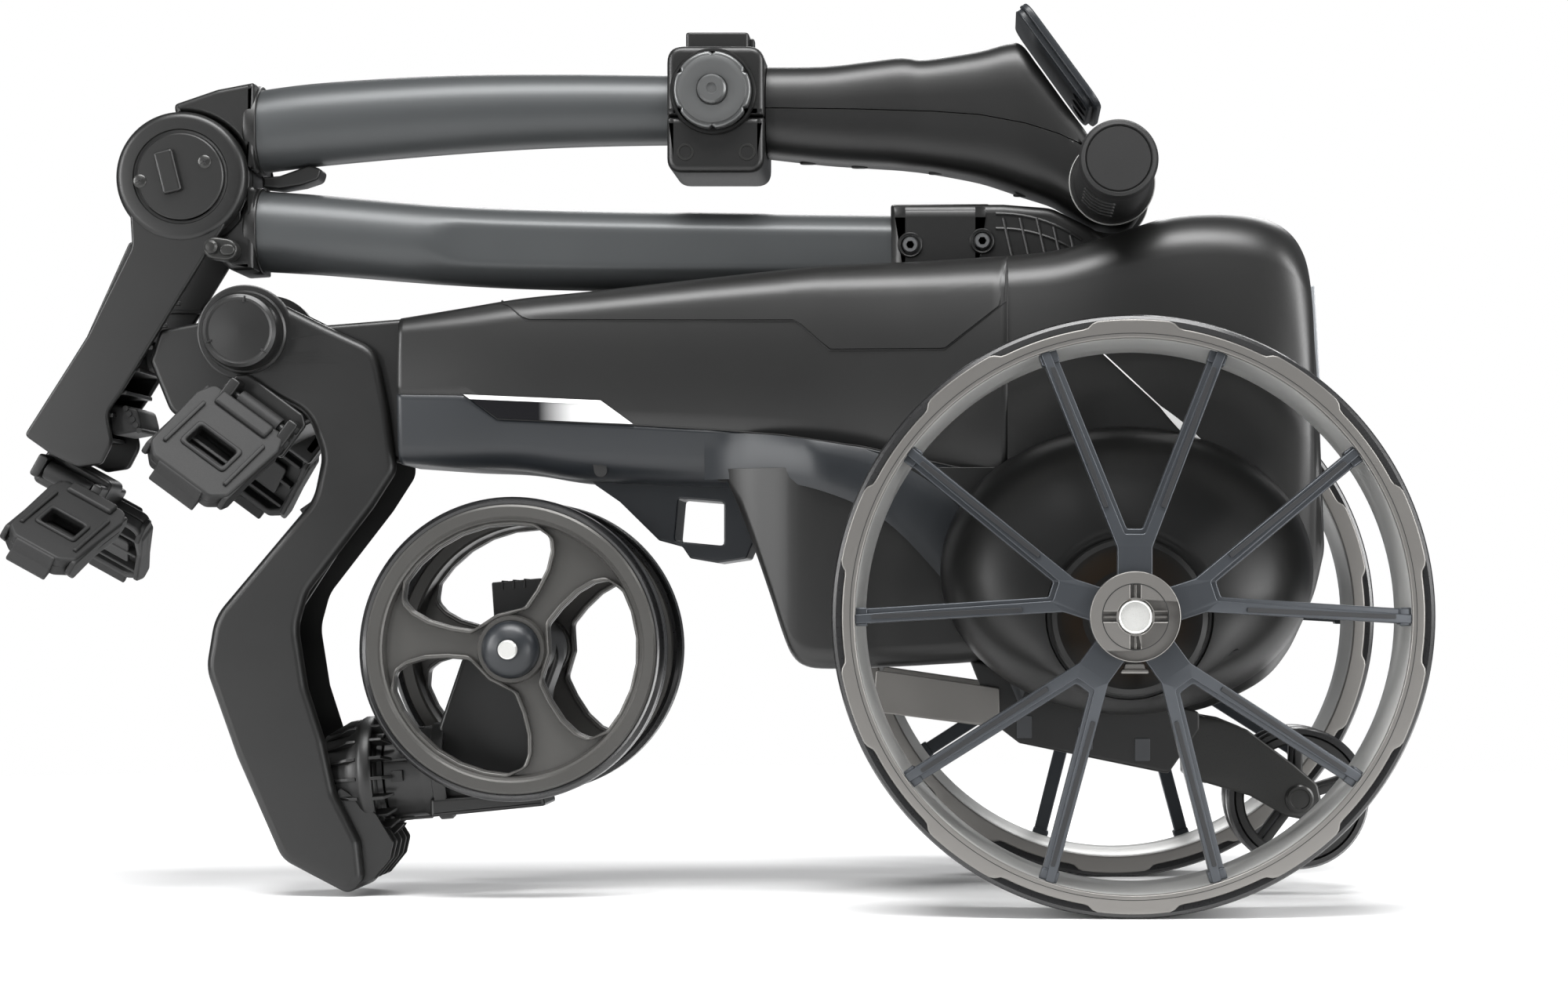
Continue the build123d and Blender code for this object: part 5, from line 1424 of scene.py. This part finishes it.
def leg_outline():
    """Crooked front leg seen from the side: knee at the back, foot at the bottom."""
    return rounded([
        (-262, 322.6, 8), (-239.6, 323, 20), (-204, 305.4, 16), (-177, 293, 18), (-170.6, 262, 60),
        (-166.2, 228, 12), (-179, 208, 20), (-214, 162.6, 22), (-219, 144, 24), (-214, 112, 20),
        (-205, 84, 20), (-199, 56, 10), (-186, 30, 8), (-184, 10, 6), (-191.5, 0.8, 8), (-228, 20, 16),
        (-252, 75, 24), (-268.6, 122, 26), (-264, 150, 30), (-211, 213, 26), (-206.4, 236, 20),
        (-214, 258, 20), (-236, 269, 14), (-268, 284, 10),
    ], 8, 6)


def leg_channel():
    """Hollow of the leg, open at the back."""
    return [(-201, 60), (-208, 36), (-224, 40), (-246, 79), (-259.4, 116), (-261.4, 130), (-251, 153),
            (-206, 209), (-200.2, 228), (-204, 250), (-214, 262), (-240, 262), (-300, 262), (-300, 340),
            (-140, 340), (-140, 200), (-150, 180), (-180, 150), (-190, 130), (-160, 96), (-160, 60)]


def leg_ribs():
    ribs = Shape()
    for u, v, angle in ((-226, 176, 35), (-246, 128, 5), (-236, 88, -15), (-204, 216, 35), (-189, 250, 5),
                        (-224, 58, -20)):
        bar = [(u + a, v + b) for a, b in turn_outline(box_outline(34, 2.4, radius=0.5), radians(angle))]
        ribs.join(plate([bar], SIDE, -29.6, 29.6, 0.4))
    web = rounded([(-229, 96), (-226, 150), (-196, 196), (-184, 226), (-186, 228), (-198, 198), (-228, 152),
                   (-231, 96)], 0.8, 2)
    return ribs.join(plate([web], SIDE, -1.2, 1.2, 0.4))


def leg_shell():
    leg = plate([leg_outline()], SIDE, -LEG_HALF, LEG_HALF, 4.6, 4)
    return leg.join(turned([(24.4, -34), (25.6, -33), (25.6, 33), (24.4, 34)], side_place(LEG.x, LEG.z),
                           72))


def pivot_cap():
    place = side_place(LEG.x, LEG.z)
    rows = [(22.4, 33), (22.4, 35), (21.4, 36), (20.6, 36), (20.2, 44.6), (19.4, 46.6), (17.6, 47.8),
            (16.6, 47.4), (16, 47.4), (8, 48), (0.4, 48.2)]
    cap = turned(rows, place, 80)
    for turn in (0, 1, 2):
        notch = turn_outline(box_outline(3.4, 1, u=17, radius=0.3), radians(80 + 120 * turn))
        cap.join(plate([notch], place, 46.8, 48.2, 0.2))
    return cap


CASTER_TILT = radians(4.5)
CASTER_AXIS = Vector((cos(CASTER_TILT), 0, sin(CASTER_TILT)))
CASTER = Place((-157.4, 0, 65.2), (0, -1, 0), (-sin(CASTER_TILT), 0, cos(CASTER_TILT)), CASTER_AXIS)


def caster_spoke(turn):
    """Plane through the swivel axis: u along the axis, v straight out from it."""
    out = CASTER.u * cos(turn) + CASTER.v * sin(turn)
    return Place(CASTER.origin, CASTER.w, out, CASTER.v * cos(turn) - CASTER.u * sin(turn))


def caster_socket():
    """Flange and ribbed socket on the leg that hold the swivel bush."""
    rows = [(15, -54), (24, -50), (27, -36), (31.6, -30), (32.6, -28), (32.6, -24), (31.6, -22.8),
            (26.6, -22.8), (26, -21.6), (24.6, -20.8), (24, -18.2), (12, -18), (12, -54)]
    socket = turned(rows, CASTER, 72, closed=True)
    for i in range(18):
        rib = caster_spoke(2 * pi * i / 18)
        socket.join(plate([rounded([(-24, 27), (-24, 32.2), (-17, 32.2), (-11, 27)], 0.8, 2)], rib, -0.9,
                          0.9, 0.3))
        socket.join(plate([rounded([(-50, 22), (-31, 22), (-31, 31.6), (-36, 31), (-48, 25)], 1, 2)], rib,
                          -0.9, 0.9, 0.3))
    fin = rounded([(-199, 60), (-178, 44), (-169, 29), (-171, 20), (-180, 9), (-192, 5), (-200, 30)], 3, 3)
    for across in (-26, -14, 0, 14, 26):
        socket.join(plate([fin], SIDE, across - 1, across + 1, 0.4))
    return socket


def caster_barrel():
    rows = [(9.2, -17.6), (22.6, -17.6), (23.6, -16.6), (23.6, 2), (24.4, 3), (24.4, 8), (26.4, 8.6),
            (26.4, 14), (25.4, 15.2), (22.6, 15.2), (22, 14), (9.2, 14)]
    barrel = turned(rows, CASTER, 72, closed=True)
    for quarter in range(4):
        lug = caster_spoke(quarter * pi / 2)
        barrel.join(plate([box_outline(6.5, 2.4, -10, 24, 0.6)], lug, -3, 3, 0.5))
        barrel.join(plate([box_outline(22, 1.6, -6, 24, 0.4)], lug, 8, 9.6, 0.4))
    return barrel


def caster_fork():
    outline = rounded([(-147, 42.6), (-147, 90), (-134, 128, 16), (-119, 146, 14), (-101, 150.5, 16),
                       (-86, 144, 12), (-81.5, 128, 16), (-88, 110, 20), (-90.7, 85, 16), (-94, 66, 6),
                       (-89.6, 48.6, 2)], 2, 5)
    fork = plate([outline], SIDE, -14, 14, 2.4, 3)
    foot = rounded([(-150, 42), (-88, 48.2), (-90, 56), (-150, 52)], 1.5, 3)
    fork.join(plate([foot], SIDE, -22, 22, 2, 3))
    place = side_place(FRONT.x, FRONT.z)
    boss = turned([(17, -33.4), (17.6, -32), (17.6, 32), (17, 33.4)], place, 56)
    guide = rounded([(-119, 168.4), (-92, 170.8), (-92, 146), (-117.5, 146)], 1, 3)
    fork.join(boss, plate([guide], SIDE, -9, 9, 0.7))
    for i in range(3):
        notch = box_outline(1, 5, -113 + i * 6, 167 + i * 0.5, 0.3)
        fork.join(plate([notch], SIDE, -9.6, 9.6, 0.2))
    return fork


def nose_casting():
    """Nose of the chassis that the folding leg hinges on."""
    nose = rounded([(-300, 287, 3), (-294.9, 303.8, 3), (-270.1, 308.4, 6), (-247, 315, 12),
                    (-205, 306.4, 6), (-163.3, 309.8, 2), (-163.3, 231.4, 2), (-190, 240), (-198, 255),
                    (-212, 254.5), (-235, 243.5), (-262, 245, 10), (-289, 259.7, 10)], 5, 4)
    return plate([nose], SIDE, -26.4, 26.4, 3, 3)


def build_leg():
    bore = turned([(17.6, -56), (17.6, 10)], CASTER, 40)
    flange_room = turned([(33, -30.5), (33, 30)], CASTER, 48)
    piece("leg_frame", leg_shell(), "black_plastic", "front_leg", ["leg_shell"],
          cut=[prism(leg_channel(), SIDE, -28.6, 28.6), bore, flange_room], sharp=45)
    piece("leg_webs", leg_ribs(), "black_plastic", "front_leg")
    piece("leg_pivot_caps", pivot_cap().on_both_sides(), "shell_black", "front_leg", ["leg_caps"])
    piece("caster_socket", caster_socket(), "black_plastic", "front_leg", ["caster_housing"], sharp=45)
    piece("caster_barrel", caster_barrel(), "black_plastic", "caster", ["caster_fork"], sharp=45)
    piece("caster_arm", caster_fork(), "black_plastic", "caster", ["caster_fork"], sharp=45)
    piece("nose_casting", nose_casting(), "shell_black", "chassis", ["nose_bracket"], "shell_blue",
          sharp=45)


# ---------------------------------------------------------------- collar, handle and console
def collar():
    made = Shape()
    for low, high, base, crown in ((387.6, 417.4, 8, 1), (418, 455.4, 1, 9)):
        outline = rounded([(-22, low, base), (30, low, base), (30, high, crown), (-22, high, crown)], 2, 7)
        made.join(plate([outline], SIDE, -31, 31, 3.6, 4))
    seat = turned([(23.2, 27), (23.2, 31.6), (22.4, 32.6), (21.4, 32.6), (21.4, 27)],
                  side_place(KNOB.x, KNOB.z), 72, closed=True)
    return made.join(seat.on_both_sides())


def collar_station():
    """Accessory station on the collar with an open round socket."""
    body = plate([box_outline(34, 27, 3.5, 0, 2.5), circle(5.05, 3.5, 0, 32)], level_place(0), 454.4, 465.6,
                 1.2, 3)
    tab = plate([box_outline(3, 10, 21.4, 0, 1)], level_place(0), 456.4, 463.6, 0.7)
    return body.join(tab)


def collar_knob():
    place = side_place(KNOB.x, KNOB.z)
    rim = []
    for i in range(180):
        a = 2 * pi * i / 180
        off = abs((a * 6 / (2 * pi)) % 1 - 0.5) * 2
        radius = 20.6 - 1.5 * max(0, 1 - off * 6)
        rim.append((radius * cos(a), radius * sin(a)))
    knob = plate([rim], place, 31.2, 39, 1.6, 3)
    knob.join(turned([(18.6, 38.6), (17.8, 39.9), (15, 40.3), (8.6, 39.6), (8, 39)], place, 72))
    return knob.join(turned([(8, 38.6), (7.6, 42), (6.6, 43), (3, 43), (2.6, 42.2)], place, 48))


GRIP = side_place(216, 381.5)
# Each row: place along the trolley, top, bottom, half width, squareness of the section.
HANDLE_ROWS = [
    (30.5, 448.6, 399, 23.6, 2.5), (61, 448.8, 395.8, 24.4, 2.7), (86, 451.4, 394.2, 25, 2.9),
    (100, 453, 393.4, 25.6, 3), (107, 452.8, 392.8, 26, 3.1), (113, 451.8, 392.2, 26.4, 3.2),
    (124, 452.8, 390.6, 27.6, 3.3), (145, 456.2, 386.6, 30, 3.4), (160, 460, 382, 31.8, 3.5),
    (168, 459, 379.2, 32.6, 3.6), (176, 448.6, 376.8, 33, 3.7), (184, 437.4, 374.2, 33.2, 3.8),
    (192, 426.2, 370, 33.4, 3.8), (200, 415.4, 365.4, 33.6, 3.8), (208, 405, 361.6, 33.6, 3.6),
    (218, 402, 359.8, 33.4, 3.2), (228, 396, 362, 32.6, 2.8), (235, 388.6, 372, 31, 2.4),
]
# Line where the two handle mouldings meet.
HANDLE_PARTING = [(20, 423.2), (30.5, 423.2), (82.6, 422.3), (120, 420.8), (145.5, 418.6), (170, 413.6),
                  (187.5, 408), (206, 399.5), (240, 384)]


def handle_section(row, steps=64):
    x, top, bottom, half, power = row
    centre, rise = (top + bottom) / 2, (top - bottom) / 2
    section = []
    for i in range(steps):
        a = 2 * pi * i / steps
        c, s = cos(a), sin(a)
        section.append(Vector((x, half * (abs(c) ** (2 / power)) * (1 if c > 0 else -1),
                               centre + rise * (abs(s) ** (2 / power)) * (1 if s > 0 else -1))))
    return section


def handle_half(upper):
    """Upper or lower moulding of the handle, cut along the parting line."""
    rows = []
    for row in through(HANDLE_ROWS, 4):
        parting = value_at(HANDLE_PARTING, row[0])[1] + (0.25 if upper else -0.25)
        parting = min(max(parting, row[2] + 1), row[1] - 1)
        section = []
        for p in handle_section(row):
            z = max(p.z, parting) if upper else min(p.z, parting)
            section.append(Vector((p.x, p.y, z)))
        rows.append(section)
    return skin(rows)


CONSOLE = Place((188.5, 0, 448.5), (0.588, 0, -0.809), (0, 1, 0), (0.809, 0, 0.588))


def console_bezel():
    rim = rounded([(-36, -36, 12), (34, -39, 12), (34, 39, 12), (-36, 36, 12)], 12, 6)
    glass = box_outline(45, 61, -8, 0, 5)
    holes = [circle(5.7, 24, side, 28) for side in (-20, 0, 20)]
    bezel = plate([rim, glass] + holes, CONSOLE, -1, 3, 1.2, 3)
    back = [(u * 0.95 - 1, v * 0.93) for u, v in rim]
    return bezel.join(plate([back] + holes, CONSOLE, -4.2, 0, 1, 3))


def grip():
    rows = [(22.6, 33), (22.6, 36), (21, 38.4), (20, 42), (19.6, 60), (19.5, 104), (20, 114), (20, 117),
            (19.3, 117.8), (19.3, 119), (20.2, 119.8), (20.2, 125.4), (19, 127.6), (17.4, 128.2),
            (16.6, 127.2), (16, 128), (1, 128.2)]
    made = turned(rows, GRIP, 80)
    for i in range(5):
        out = 52 + i * 12
        for k in range(3):
            a = radians(225 + k * 16)
            pad = Place(GRIP.at(19.5 * cos(a), 19.5 * sin(a), out), (-sin(a), 0, cos(a)), (0, -1, 0),
                        (cos(a), 0, sin(a)))
            made.join(plate([slot(8, 3.2)], pad, -0.8, 0.9, 0.4))
    return made


def collar_screw_seats():
    seats = Shape()
    ring = [(4.8, 30.6), (4.4, 31.3), (3.4, 31.3), (3, 30.2)]
    for x in (-12, 21):
        seats.join(turned(ring, side_place(x, 398.4), 32, closed=True))
    return seats


def handle_screw_wells():
    """Screw wells along the underside of the handle."""
    wells = Shape()
    for x, z in ((52, 396.9), (80, 394.8), (122, 391.4), (168, 379.4)):
        place = Place((x, 0, z), (1, 0, 0), (0, 1, 0), (0, 0, -1))
        wells.join(plate([slot(9, 6)], place, -0.4, 0.9, 0.4))
    return wells


def console_glass():
    return plate([box_outline(44, 60, -8, 0, 4.5)], CONSOLE, 0.2, 2.2, 0.5)


def console_key(across):
    place = Place(CONSOLE.at(24, -across, 0), CONSOLE.u, CONSOLE.v, CONSOLE.w)
    return turned([(5.1, 0.2), (5.1, 3.4), (4.4, 4.2), (2.8, 4), (0.4, 3.7)], place, 36)


def grip_ring():
    return turned([(22.7, 35.4), (23.1, 36.2), (22.7, 37), (22.2, 36.2)], GRIP, 80, closed=True)


def build_handle():
    piece("collar_clamp", collar(), "black_plastic", "upper_stem", ["accessory_collar"], sharp=45)
    piece("accessory_station", collar_station(), "black_plastic", "upper_stem", ["accessory_collar"])
    piece("collar_screw_seats", collar_screw_seats().on_both_sides(), "black_metal", "upper_stem")
    piece("clamp_knob", collar_knob(), "graphite_knob", "collar_knob", ["collar_knob"])
    piece("handle_moulding_upper", handle_half(True), "black_plastic", "upper_stem", ["handle_upper"],
          sharp=45)
    piece("handle_moulding_lower", handle_half(False), "black_plastic", "upper_stem", ["handle_lower"],
          sharp=45)
    piece("handle_screw_wells", handle_screw_wells(), "seam_shadow", "upper_stem")
    piece("console_frame", console_bezel(), "shell_blue", "upper_stem", ["console_bezel"], "black_plastic")
    piece("console_glass", console_glass(), "glass_dark", "upper_stem", ["display_glass"])
    for name, across in (("slower", -20), ("power", 0), ("faster", 20)):
        piece("key_" + name, console_key(across), "grip_rubber", "button_" + name, ["button_" + name])
    piece("handle_grips", grip().on_both_sides(), "grip_rubber", "upper_stem", ["grips"])
    piece("grip_rings", grip_ring().on_both_sides(), "bright_steel", "upper_stem")


# ---------------------------------------------------------------- stage
def build_floor():
    """Large pale floor that fades out before the horizon."""
    mesh = bpy.data.meshes.new("floor")
    half = 12
    mesh.from_pydata([(-half, -half, 0), (half, -half, 0), (half, half, 0), (-half, half, 0)], [],
                     [(0, 1, 2, 3)])
    floor = bpy.data.objects.new("floor", mesh)
    bpy.context.scene.collection.objects.link(floor)
    material, tree, shader = new_material("floor_paper")
    shader.inputs["Roughness"].default_value = 0.75
    place = new_node(tree, "TexCoord")
    paper = new_node(tree, "TexNoise", {"Scale": 40})
    tone = colour_mix(tree, (0.90, 0.90, 0.90, 1), (0.93, 0.93, 0.93, 1))
    length = new_node(tree, "VectorMath")
    length.operation = "LENGTH"
    fade = new_node(tree, "MapRange", {"From Min": 0.55, "From Max": 1.5, "To Min": 1, "To Max": 0})
    wire(
        tree,
        (place, "Object", paper, "Vector"),
        (paper, "Fac", tone, "Factor"),
        (tone, "Result", shader, "Base Color"),
        (place, "Object", length, 0),
        (length, "Value", fade, "Value"),
        (fade, "Result", shader, "Alpha"),
    )
    mesh.materials.append(material)


def build_world():
    """White behind the trolley, and a dim even light all round for everything else."""
    world = bpy.data.worlds.new("studio")
    bpy.context.scene.world = world
    world.use_nodes = True
    tree = world.node_tree
    plain = tree.nodes["Background"]
    plain.inputs["Color"].default_value = (0.80, 0.82, 0.85, 1)
    plain.inputs["Strength"].default_value = 0.2
    white = new_node(tree, "Background", {"Color": (1, 1, 1, 1), "Strength": 1})
    ray = new_node(tree, "LightPath")
    mix = new_node(tree, "MixShader")
    wire(
        tree,
        (ray, "Is Camera Ray", mix, "Fac"),
        (plain, "Background", mix, 1),
        (white, "Background", mix, 2),
        (mix, "Shader", tree.nodes["World Output"], "Surface"),
    )


def soft_light(name, place, target, size, power):
    light = bpy.data.lights.new(name, "AREA")
    light.shape = "RECTANGLE"
    light.size, light.size_y = size
    light.energy = power
    lamp = bpy.data.objects.new(name, light)
    bpy.context.scene.collection.objects.link(lamp)
    lamp.location = place
    lamp.rotation_mode = "QUATERNION"
    lamp.rotation_quaternion = (Vector(place) - Vector(target)).to_track_quat("Z", "Y")


def build_camera():
    """Level side view from the left, shifted so that the trolley sits as in the photograph."""
    camera = bpy.data.cameras.new("camera")
    camera.lens = 74.93
    camera.sensor_width = 36
    camera.shift_x = -0.1315
    camera.shift_y = 0.0728
    seat = bpy.data.objects.new("camera", camera)
    bpy.context.scene.collection.objects.link(seat)
    seat.location = (0.151, -1.776, 0.1518)
    seat.rotation_euler = (radians(90), 0, 0)
    bpy.context.scene.camera = seat


# Each light: name, place, what it points at, width and height, power.
LIGHTS = [
    ("key_above", (0, -0.75, 1.9), (0, 0, 0.25), (1.6, 0.7), 62),
    ("front_fill", (-0.2, -2.4, 1.7), (0, 0, 0.25), (1.2, 0.6), 6),
    ("left_side", (-1.7, -0.9, 0.7), (0, -0.05, 0.2), (0.4, 1.2), 26),
    ("right_side", (1.7, -0.5, 0.75), (0.2, 0, 0.2), (0.4, 1.3), 30),
    ("back_above", (0.2, 1.9, 1.5), (0, 0, 0.2), (1.6, 0.7), 26),
    ("low_right", (1.2, -1.2, 0.15), (0.27, -0.1, 0.13), (0.5, 0.3), 7),
    ("low_left", (-1.0, -1.2, 0.3), (0.03, -0.07, 0.17), (0.3, 0.5), 5),
]


def build_stage():
    build_floor()
    build_world()
    for light in LIGHTS:
        soft_light(*light)
    bpy.context.scene.view_settings.view_transform = "Standard"


paint_frame()
build_rear_wheels()
build_front_wheels()
build_shells()
build_shell_details()
build_pods()
build_under_parts()
build_tubes()
build_arm()
build_cradles()
build_leg()
build_handle()
build_stage()
build_camera()
